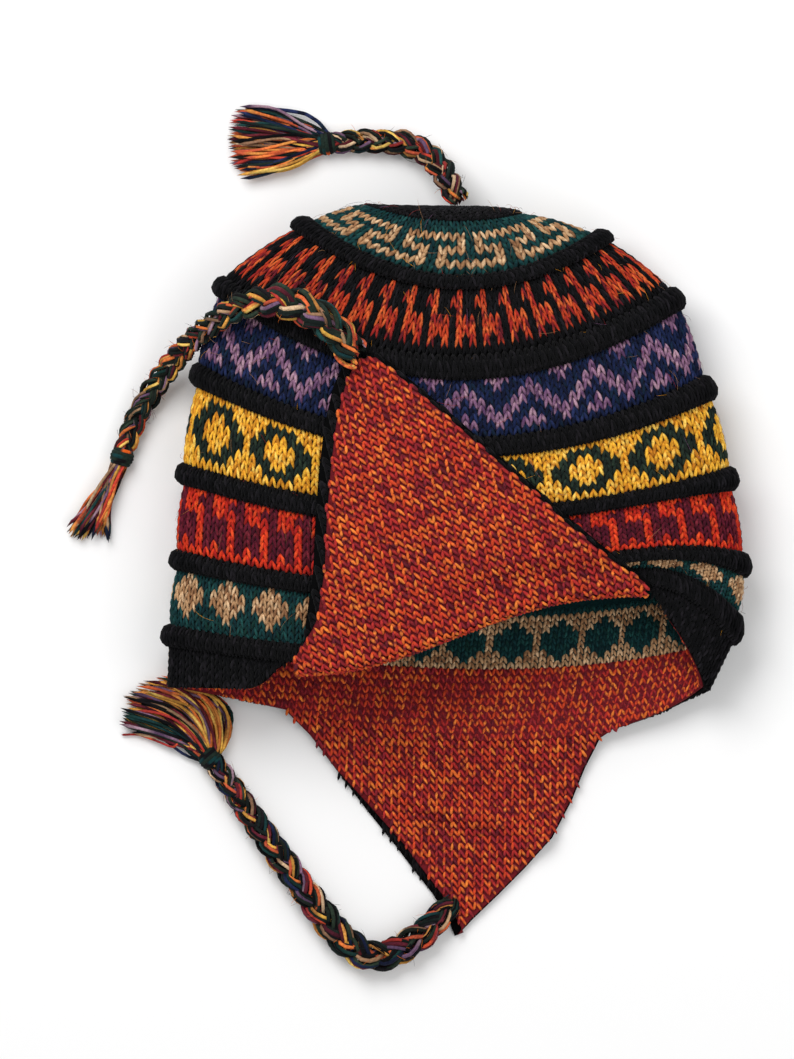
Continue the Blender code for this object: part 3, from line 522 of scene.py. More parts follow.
# The braids: across and down from where each leaves the hat, lift off the floor, and width as a share of the braid's
braidFacts = {
    "width": 0.0118,
    "lift": 0.0002,
    "strandShare": 0.25,
    "swingShare": 0.25,
    "weaveShare": 0.15,
    "pitch": 2.05,
    "yarnShare": 0.27,
    "twist": 0.060,
    "fibresPerMetre": 2200,
}
braidRoutes = {
    "top_braid": {
        "diameter": 0.0115,
        "exit": (0.02 * 0.1335, -0.002 * 0.224),
        "route": (
            (-0.0163, -0.0132, 0.351, 0.95), (-0.0462, -0.0466, 0.285, 1.05), (-0.0814, -0.0833, 0.176, 1.1),
            (-0.1286, -0.1145, 0.071, 1.1), (-0.1885, -0.1324, 0.015, 1.08), (-0.2560, -0.1395, 0.002, 1.05),
            (-0.3421, -0.1404, 0.000, 1.0), (-0.4245, -0.1386, 0.000, 0.95), (-0.4769, -0.1355, 0.005, 0.85),
        ),
    },
    "near_braid": {
        "diameter": 0.0130,
        "exit": (-0.317 * 0.1335, -0.942 * 0.224 + 1.003 * 0.140),
        "route": (
            (-0.0321, -0.0080, 1.078, 1.15), (-0.0688, -0.0316, 1.042, 1.3), (-0.1399, -0.0763, 1.017, 1.4),
            (-0.2298, -0.1066, 0.972, 1.45), (-0.3197, -0.1187, 0.888, 1.4), (-0.4396, -0.1062, 0.766, 1.15),
            (-0.5444, -0.0674, 0.563, 1.0), (-0.6081, -0.0370, 0.369, 1.0), (-0.6703, 0.0045, 0.176, 1.0),
            (-0.7354, 0.0563, 0.047, 1.0), (-0.7856, 0.1045, 0.011, 0.95), (-0.8231, 0.1559, 0.000, 0.95),
            (-0.8515, 0.2027, 0.003, 0.85),
        ),
    },
    "far_braid": {
        "diameter": 0.0138,
        "exit": (-0.0025 * 0.1335, -1.045 * 0.224 - 1.0095 * 0.103),
        "route": (
            (-0.0110, -0.0760, 0.000, 0.62), (-0.0330, -0.0560, 0.000, 0.95), (-0.0709, -0.0330, 0.000, 1.15), (-0.1024, -0.0114, 0.000, 1.2), (-0.1563, 0.0131, 0.000, 1.25),
            (-0.2260, 0.0363, 0.000, 1.27), (-0.2956, 0.0435, 0.000, 1.27), (-0.3645, 0.0230, 0.000, 1.27),
            (-0.4245, -0.0105, 0.000, 1.25), (-0.4829, -0.0561, 0.000, 1.22), (-0.5353, -0.0976, 0.000, 1.18),
            (-0.6342, -0.1806, 0.000, 1.12), (-0.7278, -0.2592, 0.000, 1.05), (-0.7765, -0.3012, 0.000, 1.0),
            (-0.8215, -0.3387, 0.000, 0.95), (-0.8589, -0.3681, 0.000, 0.85),
        ),
    },
}


def braidRoute(name, count):
    # Even points (x, y, z, width share) on a smooth curve through the route, and its length
    facts = braidRoutes[name]
    rows = []
    for across, down, lift, width in facts["route"]:
        x = facts["exit"][0] + across * hat["width"] / 2 + hat["place"][0]
        y = facts["exit"][1] - down * hat["crown"] + hat["place"][1]
        z = width * braidFacts["width"] / 2 + braidFacts["lift"] + lift * hat["thickness"]
        rows.append(np.array((x, y, z, width)))
    rows = [2 * rows[0] - rows[1], *rows, 2 * rows[-1] - rows[-2]]
    fine = []
    for a, b, c, d in zip(rows, rows[1:], rows[2:], rows[3:]):
        for t in np.arange(12) / 12:
            fine.append(0.5 * (2 * b + (c - a) * t + (2 * a - 5 * b + 4 * c - d) * t**2 + (3 * b - a - 3 * c + d) * t**3))
    fine = np.array([*fine, rows[-2]])
    lengths = np.concatenate([[0], np.cumsum(np.linalg.norm(np.diff(fine[:, :3], axis=0), axis=1))])
    even = np.linspace(0, lengths[-1], count)
    return np.stack([np.interp(even, lengths, fine[:, i]) for i in range(4)], axis=1), lengths[-1]


def pathFrames(points):
    along = unit(np.gradient(points, axis=0))
    sideways = unit(np.cross(np.array((0.0, 0.0, 1.0)), along))
    return along, sideways, np.cross(along, sideways)


# What each strand of a braid is spun from, yarn by yarn
strandYarns = {
    "top_braid": (
        ("green", "black", "green", "orange", "gold", "green", "plum", "black", "tan", "green", "red"),
        ("plum", "tan", "green", "black", "red", "plum", "mauve", "orange", "green", "black", "tan"),
        ("green", "black", "gold", "orange", "green", "plum", "teal", "tan", "black", "green", "mauve"),
    ),
    "near_braid": (
        ("green", "teal", "green", "orange", "gold", "green", "black", "green", "tan", "green", "green"),
        ("green", "orange", "gold", "red", "green", "plum", "green", "green", "mauve", "tan", "green"),
        ("black", "green", "mauve", "orange", "green", "green", "teal", "gold", "green", "plum", "green"),
    ),
    "far_braid": (
        ("green", "black", "teal", "green", "orange", "gold", "black", "green", "mauve", "green", "black"),
        ("plum", "navy", "green", "tan", "black", "mauve", "plum", "red", "green", "black", "gold"),
        ("black", "green", "navy", "teal", "black", "orange", "green", "tan", "black", "plum", "green"),
    ),
}


def spunShades(yarn, count, run=4):
    # Colours along one yarn: its heather in short runs, darker and lighter by turns
    palette = toLinear(yarns[yarn])
    pick = randomiser.choice(len(palette), count // run + 1).repeat(run)[:count]
    tone = randomiser.uniform(0.55, 1.2, count // 2 + 1).repeat(2)[:count]
    greyer = palette.mean() * np.ones(3)
    return (palette[pick] * 0.9 + greyer * 0.1) * tone[:, None]


def wander(travelled, size):
    # A slow, small drift to both sides
    waves = randomiser.uniform((90, 0), (420, 2 * math.pi), (3, 2))
    return sum(np.sin(travelled * rate + start) for rate, start in waves) * size / 3


def plait(name):
    spacing = 0.0018
    length = braidRoute(name, 2)[1]
    count = int(length / spacing)
    route, length = braidRoute(name, count)
    centre, width = route[:, :3], route[:, 3] * braidFacts["width"]
    along, sideways, upward = pathFrames(centre)
    travelled = np.linspace(0, length, count)
    phase = np.cumsum(np.concatenate([[0], np.diff(travelled)]) / (width * braidFacts["pitch"])) * 2 * math.pi
    paths, normals, radii, colours = [], [], [], []
    for strand, names in enumerate(strandYarns[name]):
        swing = phase + strand * 2 * math.pi / 3
        core = centre + sideways * (np.sin(swing) * width * braidFacts["swingShare"])[:, None]
        core = core + upward * (np.sin(2 * swing) * width * braidFacts["weaveShare"])[:, None]
        _, coreSide, coreUp = pathFrames(core)
        strandRadius = width * braidFacts["strandShare"]
        for number, yarn in enumerate(names):
            angle = travelled / braidFacts["twist"] * 2 * math.pi + number * 2 * math.pi / len(names) + strand
            angle = angle + wander(travelled, 0.7)
            ring = coreSide * np.cos(angle)[:, None] + coreUp * np.sin(angle)[:, None]
            paths.append(core + ring * (strandRadius * 0.74 + wander(travelled, 0.0004))[:, None])
            normals.append(ring)
            radii.append(strandRadius * braidFacts["yarnShare"])
            colours.append(spunShades(yarn, count))
    radii = np.array(radii)
    paths = np.array(paths)
    paths[..., 2] = np.maximum(paths[..., 2], radii * 0.9)
    many = int(length * braidFacts["fibresPerMetre"])
    which, spot = randomiser.integers(len(paths), size=many), randomiser.integers(2, count - 2, size=many)
    fibres = strayFibres(
        name + "_fibres", paths[which, spot], np.array(normals)[which, spot], (0.003, 0.007), (0.0001, 0.0007),
        ("green", "tan", "orange", "teal", "green", "plum"), "braided_yarn",
    )
    piece = layTubes(name + "_plait", paths, np.array(normals), radii, radii, np.array(colours), 5, yarnFinish)
    finishPiece(piece, "braided_yarn", name)
    print("hat:", name, "is", round(length, 4), "m long")
    return piece, fibres, centre[:: max(1, count // 36)], centre, length


# Tassels: tip across and down and the lock's bow as shares of the length, then how many yarns
tasselFacts = {
    "length": 0.046,
    "tie": 0.0052,
    "yarns": 112,
    "yarnRadius": 0.00070,
    "shades": ("orange", "gold", "green", "black", "plum", "tan", "navy", "orange", "red", "mauve", "teal", "gold"),
}
tasselTips = {
    "top_tassel": (
        (-0.848, -0.413, -0.065), (-0.957, -0.261, -0.033), (-0.989, -0.109, 0.000),
        (-1.000, 0.043, 0.000), (-0.967, 0.196, 0.033), (-0.870, 0.348, 0.087),
    ),
    "near_tassel": (
        (-0.587, 0.739, 0.043), (-0.478, 0.826, 0.033), (-0.348, 0.859, 0.000), (-0.239, 0.761, 0.000), (-0.109, 0.880, -0.087),
    ),
    "far_tassel": (
        (-0.913, -0.304, -0.043), (-0.924, -0.457, -0.065), (-0.870, -0.620, -0.130),
        (-0.717, -0.750, -0.217), (-0.522, -0.815, -0.304), (-0.359, -0.750, -0.370),
    ),
}


def fanOfYarns(name, centre):
    # Loose yarns from the tie, fanned to the tips and heaped in the middle
    tie, before = centre[-1], centre[-6]
    along = unit(tie - before)
    tips = np.array(tasselTips[name])
    count, steps = tasselFacts["yarns"], 12
    share = np.linspace(0, 1, steps)
    paths = np.zeros((count, steps, 3))
    spots = np.linspace(0, len(tips) - 1, count) + randomiser.uniform(-0.15, 0.15, count)
    for i, spot in enumerate(np.clip(spots, 0, len(tips) - 1)):
        across, down, bow = (np.interp(spot, np.arange(len(tips)), tips[:, k]) for k in range(3))
        reach = tasselFacts["length"] * randomiser.uniform(0.84, 1.02)
        tip = tie + np.array((across, -down, 0.0)) * reach
        start = tie - along * 0.002
        way = unit(tip - start)
        side = np.array((-way[1], way[0], 0.0))
        radius = math.sqrt(randomiser.random()) * 0.0036
        angle = randomiser.uniform(0, 2 * math.pi)
        start = start + side * math.cos(angle) * radius
        height = math.sin(angle) * radius
        wave = randomiser.uniform(-0.0016, 0.0016) * np.sin(share * randomiser.uniform(4, 9) + angle)
        line = start[None] + (tip - start)[None] * share[:, None]
        line = line + side[None] * (bow * tasselFacts["length"] * 4 * share * (1 - share) + wave)[:, None]
        pile = randomiser.uniform(0, 1) ** 1.5
        line[:, 2] = (tie[2] + height) * (1 - share) ** 1.6 + (0.0010 + pile * 0.0062) * (1 - (1 - share) ** 1.6)
        line[:, 2] += 0.0012 * pile * np.sin(share * math.pi)
        paths[i] = line
    paths[..., 2] = np.maximum(paths[..., 2], tasselFacts["yarnRadius"])
    radii = np.full((count, steps), tasselFacts["yarnRadius"])
    radii[:, -2:] *= 1.25
    colours = np.zeros((count, steps, 3))
    for i in range(count):
        colours[i] = spunShades(tasselFacts["shades"][randomiser.integers(len(tasselFacts["shades"]))], steps, 2)
    up = np.zeros_like(paths) + np.array((0.0, 0.0, 1.0))
    return layTubes(name + "_yarns", paths, up, radii, radii, colours, 5, yarnFinish)


def tieWraps(name, centre):
    # The knot: a yarn wound round the braid's end
    turns, steps = 4.5, 90
    tie = centre[-1]
    along = unit(tie - centre[-6])
    side = unit(np.cross(np.array((0.0, 0.0, 1.0)), along))
    up = np.cross(along, side)
    share = np.linspace(0, 1, steps)
    angle = share * turns * 2 * math.pi
    reach = 0.0036 + 0.0010 * np.sin(share * math.pi)
    ring = side * np.cos(angle)[:, None] + up * np.sin(angle)[:, None]
    path = tie - along * 0.0035 + ring * reach[:, None] + along * (share * 0.0065)[:, None]
    path[:, 2] = np.maximum(path[:, 2], 0.0013)
    radii = np.full((1, steps), 0.00115)
    palette = toLinear((yarns["green"][0], yarns["black"][1], yarns["teal"][0], yarns["orange"][0]))
    colours = palette[randomiser.choice(4, steps // 3 + 1, p=(0.4, 0.3, 0.2, 0.1)).repeat(3)[:steps]]
    return layTubes(name + "_knot", path[None], ring[None], radii, radii, colours[None], 6, yarnFinish)


# Single yarns that lie apart from a tassel: their points in metres
looseYarns = {
    "top_tassel": {"yarn": "navy", "radius": 0.0010, "points": (
        (-0.0585, 0.2020, 0.0060), (-0.0640, 0.2088, 0.0058), (-0.0700, 0.2126, 0.0050), (-0.0774, 0.2140, 0.0040),
        (-0.0880, 0.2150, 0.0030), (-0.0960, 0.2158, 0.0022),
    )},
    "far_tassel": {"yarn": "red", "radius": 0.0006, "points": (
        (-0.1183, -0.0831, 0.0060), (-0.1248, -0.0789, 0.0064), (-0.1280, -0.0778, 0.0060), (-0.1313, -0.0822, 0.0050),
        (-0.1392, -0.0789, 0.0036), (-0.1480, -0.0757, 0.0020), (-0.1559, -0.0761, 0.0014),
    )},
}


def looseYarn(name):
    facts = looseYarns[name]
    points, steps = np.array(facts["points"]), 40
    spots = np.linspace(0, len(points) - 1, steps)
    path = np.stack([np.interp(spots, np.arange(len(points)), points[:, k]) for k in range(3)], axis=1)
    for _ in range(3):
        path[1:-1] = (path[:-2] + path[1:-1] * 2 + path[2:]) / 4
    radii = np.full((1, steps), facts["radius"])
    up = np.zeros((1, steps, 3)) + np.array((0.0, 0.0, 1.0))
    return finishPiece(layTubes(name + "_loose_yarn", path[None], up, radii, radii, spunShades(facts["yarn"], steps)[None], 6, yarnFinish), "braided_yarn")


def makeBraids():
    for side in ("top", "near", "far"):
        piece, fibres, path, centre, length = plait(side + "_braid")
        path = np.concatenate([path, centre[-1:]])
        tassel = finishPiece(fanOfYarns(side + "_tassel", centre), "braided_yarn", side + "_tassel")
        knot = finishPiece(tieWraps(side + "_tassel", centre), "braided_yarn")
        if side + "_tassel" in looseYarns:
            looseYarn(side + "_tassel")


def makeBinding():
    # Two yarns looped where the near braid leaves the flap's tip
    middle, steps = np.array(bindingFacts["middle"]), 40
    around = np.linspace(0.3, 2 * math.pi + 0.1, steps)
    c, d = math.cos(bindingFacts["lean"]), math.sin(bindingFacts["lean"])
    paths, colours = [], []
    for number, yarn in enumerate(bindingFacts["yarns"]):
        size = 1 - 0.17 * number
        along, side = np.cos(around) * bindingFacts["long"] / 2 * size, np.sin(around) * bindingFacts["wide"] / 2 * size
        rise = bindingFacts["rise"] * (0.4 + 0.6 * np.sin(around)) - 0.0006 * number
        paths.append(np.stack([along * c - side * d, along * d + side * c, rise], axis=-1) + middle)
        colours.append(spunShades(yarn, steps, 2))
    radii = np.full((len(paths), steps), bindingFacts["radius"])
    up = np.zeros((len(paths), steps, 3)) + np.array((0.0, 0.0, 1.0))
    finishPiece(layTubes("near_braid_binding", np.array(paths), up, radii, radii, np.array(colours), 6, yarnFinish), "braided_yarn")


bindingFacts = {
    "middle": (-0.0512, 0.0978, 0.0735), "lean": math.radians(-35), "long": 0.0118, "wide": 0.0052, "rise": 0.0012,
    "radius": 0.00075, "yarns": ("orange", "gold", "orange"),
}
makeBraids()
makeBinding()
print("hat: braids and tassels")

# Knitted bands. chart rows run down from the crown; "marks" say which column stands at which turn
bands = {
    "key_band": {
        "rings": (1.0, 2.0), "slot": "teal_knit", "around": 64, "marks": ((0.2371, 3.8),), "lean": 0.22, "flip": False,
        "yarns": {".": "teal", "X": "tan"}, "ground": "teal",
        "chart": ("........", "........", "XXXXXXX.", "X.....X.", "XXX.XXX.", "..X.X...", "XXX.XXXX", "........"),
    },
    "lightning_band": {
        "rings": (3.0, 4.0), "slot": "black_rust_knit", "around": 144, "marks": ((0.2341, 1.5),), "lean": 0.0, "flip": True,
        "yarns": {".": "black", "R": "bolt"}, "ground": "black",
        "chart": (".R..", "RR..", ".R..", ".RRR", ".RRR", ".R.R", "...."),
    },
    "zigzag_band": {
        "rings": (5.0, 6.0), "slot": "navy_knit", "around": 136, "marks": ((0.3230, 0.5),), "lean": 0.0, "flip": True,
        "yarns": {".": "navy", "X": "mauve"}, "ground": "navy",
        "chart": ("...XXX..", "X...X...", "XX.....X", ".XX...XX", "..XX.XX.", "X..XXX..", "XX..X..X", "........"),
    },
    "ring_band": {
        "rings": (7.0, 8.0), "slot": "gold_green_knit", "around": 144,
        "marks": ((0.0435, -40.0), (0.1008, -31.0), (0.3597, 5.0), (0.4259, 14.0), (0.4626, 18.5)), "lean": 0.0, "flip": True,
        "yarns": {".": "green", "G": "gold"}, "ground": "green",
        "chart": ("GGGGGGGGG", "GGG....GG", "GG..GG..G", "G..GGGG..", "G..GGGG..", "GG..GG..G", "GGG....GG", "GGGGGGGGG"),
    },
    "stepped_band": {
        "rings": (9.0, 10.0), "slot": "red_knit", "around": 140, "marks": ((0.0446, 0.0),), "lean": 0.0, "flip": True,
        "yarns": {"p": "plum", "R": "red"}, "ground": "plum",
        "chart": ("RRRp", "RRpp", "RRRp", "ppRp", "ppRp", "ppRp", "RpRp", "RRRR"),
    },
    "diamond_band": {
        "rings": (11.0, 12.0), "slot": "teal_tan_knit", "around": 168, "marks": ((0.0612, 2.5),), "lean": 0.0, "flip": True,
        "yarns": {".": "teal", "T": "tan"}, "ground": "teal",
        "chart": ("..T...", ".TTT..", "TTTTT.", "TTTTT.", ".TTT..", "..T...", "......", "......"),
        "rowsShown": 7.3,
    },
}
bandFacts = {"puff": 0.0009, "tuck": 0.0006, "depth": 0.0010}


def turnAt(marks, around):
    # A function from a column to its turn, even all round where there is one mark
    turns = np.array([mark[0] for mark in marks])
    columns = np.array([mark[1] for mark in marks])
    allTurns = np.concatenate([turns + k for k in range(-3, 4)])
    allColumns = np.concatenate([columns + around * k for k in range(-3, 4)])
    return lambda column: np.interp(column, allColumns, allTurns)


def bandSurface(first, last, rows, columnTurn, lean=0.0, offset=0.0, puff=0.0, tuck=0.0):
    stationAt = levelStation(first, last)

    def pointAt(u, v):
        share = v / rows
        turn = columnTurn(u - lean * (v - rows * 0.35))
        station = stationAt(share, turn)
        inside = np.clip(share, 0, 1)
        out = offset + (puff * np.sin(inside * math.pi) - tuck * (1 - np.sin(inside * math.pi)) ** 3) * restShare(turn)
        return crownPoint(station, turn) + crownNormal(station, turn) * out[..., None]
    return pointAt


def makeBand(name):
    facts = bands[name]
    rows, period = len(facts["chart"]), len(facts["chart"][0])
    columnTurn = turnAt(facts["marks"], facts["around"])
    shown = facts.get("rowsShown", rows)
    surface = bandSurface(*facts["rings"], shown, columnTurn, facts["lean"], 0.0, bandFacts["puff"], bandFacts["tuck"])
    column, row = (grid.ravel() for grid in np.meshgrid(np.arange(facts["around"]), np.arange(rows)))
    symbols = np.array([[facts["yarns"][letter] for letter in line] for line in facts["chart"]])
    names = symbols[row, column % period]
    knit(name + "_stitches", surface, column.astype(float), row.astype(float), names, facts["slot"], [name], flip=facts["flip"])
    plainTurn = turnAt(((0.0, 0.0),), 1)
    outer = bandSurface(*facts["rings"], 1, plainTurn, 0.0, -0.0005, bandFacts["puff"], bandFacts["tuck"])
    inner = bandSurface(*facts["rings"], 1, plainTurn, 0.0, -hat["wall"])
    # The band's ground is its yarn at half brightness: painted shade between the stitches
    ground = clothMaterial(name + "Ground", facts["ground"])
    layCloth(name + "_cloth", outer, inner, 160, 6, True, ground, facts["slot"], [name])


for bandName in bands:
    makeBand(bandName)
print("hat: six patterned bands")

# Rolled black welts: along runs down the roll, out is a share of its rise
weltFacts = {
    "rise": 0.0040,
    "rollAlong": (0.02, 0.00, 0.10, 0.32, 0.60, 0.86, 1.06, 1.12, 1.04, 0.92),
    "rollOut": (-0.55, 0.15, 0.62, 0.96, 1.08, 1.00, 0.74, 0.36, 0.05, -0.55),
    "stitchWidth": 0.0033,
    "stitchRows": 3,
    "pressedMargin": 0.12,
    "pressedRise": 0.0005,
    "unevenness": 0.10,
}


def weltSurface(number, offset=0.0):
    first, last = 2.0 * number, 2.0 * number + 1.0
    lengths = np.linspace(0, 1, len(weltFacts["rollAlong"]))
    phases = np.random.default_rng(number).uniform(0, 2 * math.pi, 4)

    def pointAt(u, v):
        # u is the turn and v runs down the roll from 0 to 1
        turn, v = u % 1.0, np.clip(v, 0, 1)
        along = np.interp(v, lengths, weltFacts["rollAlong"])
        out = np.interp(v, lengths, weltFacts["rollOut"])
        rise = hat["restHeight"] * 0.72 + (weltFacts["rise"] - hat["restHeight"] * 0.72) * restShare(turn)
        wave = sum(np.sin(turn * 2 * math.pi * k + p) for k, p in zip((5, 8, 13, 21), phases)) / 4
        rise = rise * (1 + weltFacts["unevenness"] * wave * restShare(turn))
        if number == 6:
            across = -np.cos(turn * 2 * math.pi)
            depth = np.minimum(across - hat["foldLeft"], hat["foldRight"] - across) + weltFacts["pressedMargin"]
            pressed = np.where(turn < 0.5, np.clip(depth / weltFacts["pressedMargin"], 0, 1), 0)
            rise = rise + (weltFacts["pressedRise"] - rise) * pressed
        top, low = crownPoint(np.full_like(turn, first), turn), crownPoint(np.full_like(turn, last), turn)
        station = first + (last - first) * np.clip(along, 0, 1)
        normal = crownNormal(station, turn)
        reach = np.where(out > 0, out * rise, out * 0.004) + offset
        return top + (low - top) * along[..., None] + normal * reach[..., None]
    return pointAt


def makeWelt(number):
    surface = weltSurface(number)
    around = int(round(float(np.linalg.norm(np.diff(net[int(2 * number / stationStep)], axis=0), axis=1).sum()) / weltFacts["stitchWidth"]))
    rows = weltFacts["stitchRows"]
    column, row = (grid.ravel().astype(float) for grid in np.meshgrid(np.arange(around), np.arange(rows)))
    surfaceHere = lambda u, v: surface(u / around, 0.12 + v / rows * 0.74)
    name = f"welt_{number}"
    names = np.full(len(column), "black")
    knit(name + "_stitches", surfaceHere, column, row, names, "black_knit", [name], flip=True, halfWidth=0.20, lift=0.00020)
    under = weltSurface(number, -0.0003)

    def outer(u, v):
        return under(u, v)

    def inner(u, v):
        turn = u % 1.0
        station = 2.0 * number + 0.1 + v * 0.8
        return crownPoint(station, turn) - crownNormal(station, turn) * hat["wall"]
    # The roll under the stitches is black darkened to 0.3: painted shade between the stitches
    layCloth(name + "_roll", outer, inner, 200, 14, True, clothMaterial(name + "Roll", "black", 0.3), "black_knit", [name])


for weltNumber in range(1, 7):
    makeWelt(weltNumber)
print("hat: six rolled welts")

# The cap's small black dome, with fewer stitches towards its top
capFacts = {"rows": 9, "stitchWidth": 0.0036}


def makeCap():
    rows = capFacts["rows"]
    columns, levels = [], []
    surface = lambda u, v: crownPoint(np.clip(v / rows, 0.02, 1.0), u) + crownNormal(np.clip(v / rows, 0.02, 1.0), u) * 0.0002
    pieces = []
    for row in range(rows):
        ring = crownPoint(np.full(181, (row + 0.5) / rows), np.linspace(0, 1, 181))
        around = max(6, int(round(np.linalg.norm(np.diff(ring, axis=0), axis=1).sum() / capFacts["stitchWidth"])))
        here = lambda u, v, around=around: surface(u / around, v)
        pieces.append((here, around, row))
    for here, around, row in pieces:
        knit(
            f"crown_cap_row_{row + 1}", here, np.arange(around).astype(float), np.full(around, float(row)),
            np.full(around, "black"), "black_knit", ["crown_cap"], lift=0.00025,
        )
    outer = lambda u, v: crownPoint(0.01 + 0.99 * v, u) - crownNormal(0.01 + 0.99 * v, u) * 0.0003
    inner = lambda u, v: crownPoint(0.01 + 0.99 * v, u) - crownNormal(0.01 + 0.99 * v, u) * hat["wall"]
    # The cap's ground is black darkened to 0.3: painted shade between the stitches
    layCloth("crown_cap_cloth", outer, inner, 60, 10, True, clothMaterial("capGround", "black", 0.3), "black_knit", ["crown_cap"])


makeCap()
print("hat: cap")

# Loose hairs over the crown
hairFacts = {"count": 380, "reach": (0.004, 0.013), "height": (0.0004, 0.0016), "shades": ("tan", "mauve", "black", "tan", "bolt", "gold")}
hairStations = randomiser.uniform(0.6, 12.8, hairFacts["count"])
hairTurns = randomiser.uniform(-0.06, 0.56, hairFacts["count"])
hairNormals = crownNormal(hairStations, hairTurns)
strayFibres(
    "crown_hairs", crownPoint(hairStations, hairTurns) + hairNormals * 0.001, hairNormals, hairFacts["reach"], hairFacts["height"],
    hairFacts["shades"], "black_knit",
)

# The mouth: a patterned lining, the black rim and its rust lining
liningFacts = {
    "start": 10.55, "around": 162, "firstRow": 3,
    "marks": ((0.5938, 2.5), (0.6261, 8.5), (0.6621, 14.5), (0.7015, 20.5), (0.7412, 26.5)),
    "chart": ("......", "......", "......", "......", "TTTTTT", "TT.TTT", "T...TT", ".....T", ".....T", ".....T", "T...TT", "TT.TTT", "TTTTTT"),
    "lean": -0.10,
}
rimFacts = {"around": 155, "rowHeight": 0.0034, "reach": 0.016, "reachBefore": 0.040, "slant": -0.25}


def makeDiamondLining():
    chart = liningFacts["chart"]
    rows = len(chart)
    depth = -hat["wall"] - hat["liningGap"] - hat["lining"]
    columnTurn = turnAt(liningFacts["marks"], liningFacts["around"])
    surface = bandSurface(liningFacts["start"], foldRing, rows, columnTurn, 0.0, depth + 0.0004)
    column, row = (grid.ravel() for grid in np.meshgrid(np.arange(liningFacts["around"]), np.arange(liningFacts["firstRow"], rows)))
    names = np.array([[{".": "teal", "T": "tan"}[letter] for letter in line] for line in chart])[row, column % 6]
    knit(
        "diamond_lining_stitches", surface, column.astype(float), row.astype(float), names, "tan_teal_knit",
        ["diamond_lining"], flip=True, side=-1, slant=liningFacts["lean"], halfWidth=0.235,
    )
    plainTurn = turnAt(((0.0, 0.0),), 1)
    outer = bandSurface(liningFacts["start"], foldRing, 1, plainTurn, 0.0, -hat["wall"] - hat["liningGap"])
    inner = bandSurface(liningFacts["start"], foldRing, 1, plainTurn, 0.0, depth)
    # The lining's ground is teal at half brightness: painted shade between the stitches
    layCloth("diamond_lining_cloth", outer, inner, 160, 6, True, clothMaterial("liningGround", "teal", 0.5), "tan_teal_knit", ["diamond_lining"])


def rimSurface(offset, around):
    # v is the distance down from the fold's ring, in rows
    stations = np.arange(len(net)) * stationStep
    start = np.array([np.interp(foldRing, stations, meridians[:, c]) for c in range(turnColumns + 1)])
    distances = np.linspace(-0.008, 0.048, 113)
    table = np.array([np.interp(start[c] + distances, meridians[:, c], stations) for c in range(turnColumns + 1)]).T

    def pointAt(u, v):
        turn = (u / around) % 1.0
        row = np.clip((v * rimFacts["rowHeight"] + 0.008) / 0.0005, 0, 111.999)
        column = turn * turnColumns
        r, c = row.astype(int), np.minimum(column.astype(int), turnColumns - 1)
        dr, dc = row - r, column - c
        upper = table[r, c] * (1 - dc) + table[r, c + 1] * dc
        lower = table[r + 1, c] * (1 - dc) + table[r + 1, c + 1] * dc
        station = upper * (1 - dr) + lower * dr
        return crownPoint(station, turn) + crownNormal(station, turn) * offset
    return pointAt


def rimDepth(turn):
    # Distance from the fold's ring to the hem
    stations = np.arange(len(net)) * stationStep
    starts = np.array([np.interp(foldRing, stations, meridians[:, c]) for c in range(turnColumns + 1)])
    return np.interp((turn % 1.0) * turnColumns, np.arange(turnColumns + 1), meridians[-1] - starts)


def makeRim():
    start, end = turnOf(foldRing, hat["rimRight"]), 1 + turnOf(foldRing, hat["rimLeft"])
    around = rimFacts["around"]
    for name, offset, side, yarn, slotName, slant, reachBefore in (
        ("rim_band", 0.0, 1, "black", "black_knit", 0.0, rimFacts["reachBefore"]),
        ("rim_lining", -hat["wall"] - hat["liningGap"] - hat["lining"] + 0.0004, -1, "rust", "rust_knit", rimFacts["slant"], 0.001),
    ):
        farEnd, farStart = end + rimFacts["reach"], start - reachBefore

        def depthShare(turn):
            return (1 - np.clip((turn - end) / rimFacts["reach"], 0, 1) ** 1.6) * (1 - np.clip((start - turn) / reachBefore, 0, 1))
        placed = []
        for column in np.arange(math.ceil(farStart * around), math.floor(farEnd * around)):
            turn = (column + 0.5) / around
            deep = float(rimDepth(np.array(turn)) * depthShare(turn))
            placed += [(column, row) for row in range(int(round(deep / rimFacts["rowHeight"])))]
        placed = np.array(placed, float)
        names = np.full(len(placed), yarn)
        knit(
            name + "_stitches", flapFabric(hat["wall"] + hat["liningGap"] + hat["lining"] - 0.0004, offset) if yarn == "rust" else rimSurface(offset, around), placed[:, 0], placed[:, 1], names, slotName, [name],
            flip=True, side=side, slant=slant, **(rustLeg if yarn == "rust" else {}),
        )
        top = 0.0005 if name == "rim_band" else -hat["wall"] - hat["liningGap"]
        low = -hat["wall"] if name == "rim_band" else -hat["wall"] - hat["liningGap"] - hat["lining"]
        top = top - 0.001 if name == "rim_band" else top

        def sheetAt(out):
            def pointAt(u, v):
                turn = farStart + (farEnd - farStart) * u
                station = foldRing + v * (hemRing - foldRing) * 0.995 * (0.04 + 0.96 * depthShare(turn))
                return crownPoint(station, turn) + crownNormal(station, turn) * out
            return pointAt
        # The ground is its yarn darkened as painted shade between the stitches: black to 0.3, rust as the marl's maroon
        # at 0.55
        ground = clothMaterial(name + "Ground", yarn, *((0.55, 3) if yarn == "rust" else (0.3, 0)))
        layCloth(name + "_cloth", sheetAt(top), sheetAt(low), 140, 8, False, ground, slotName, [name])


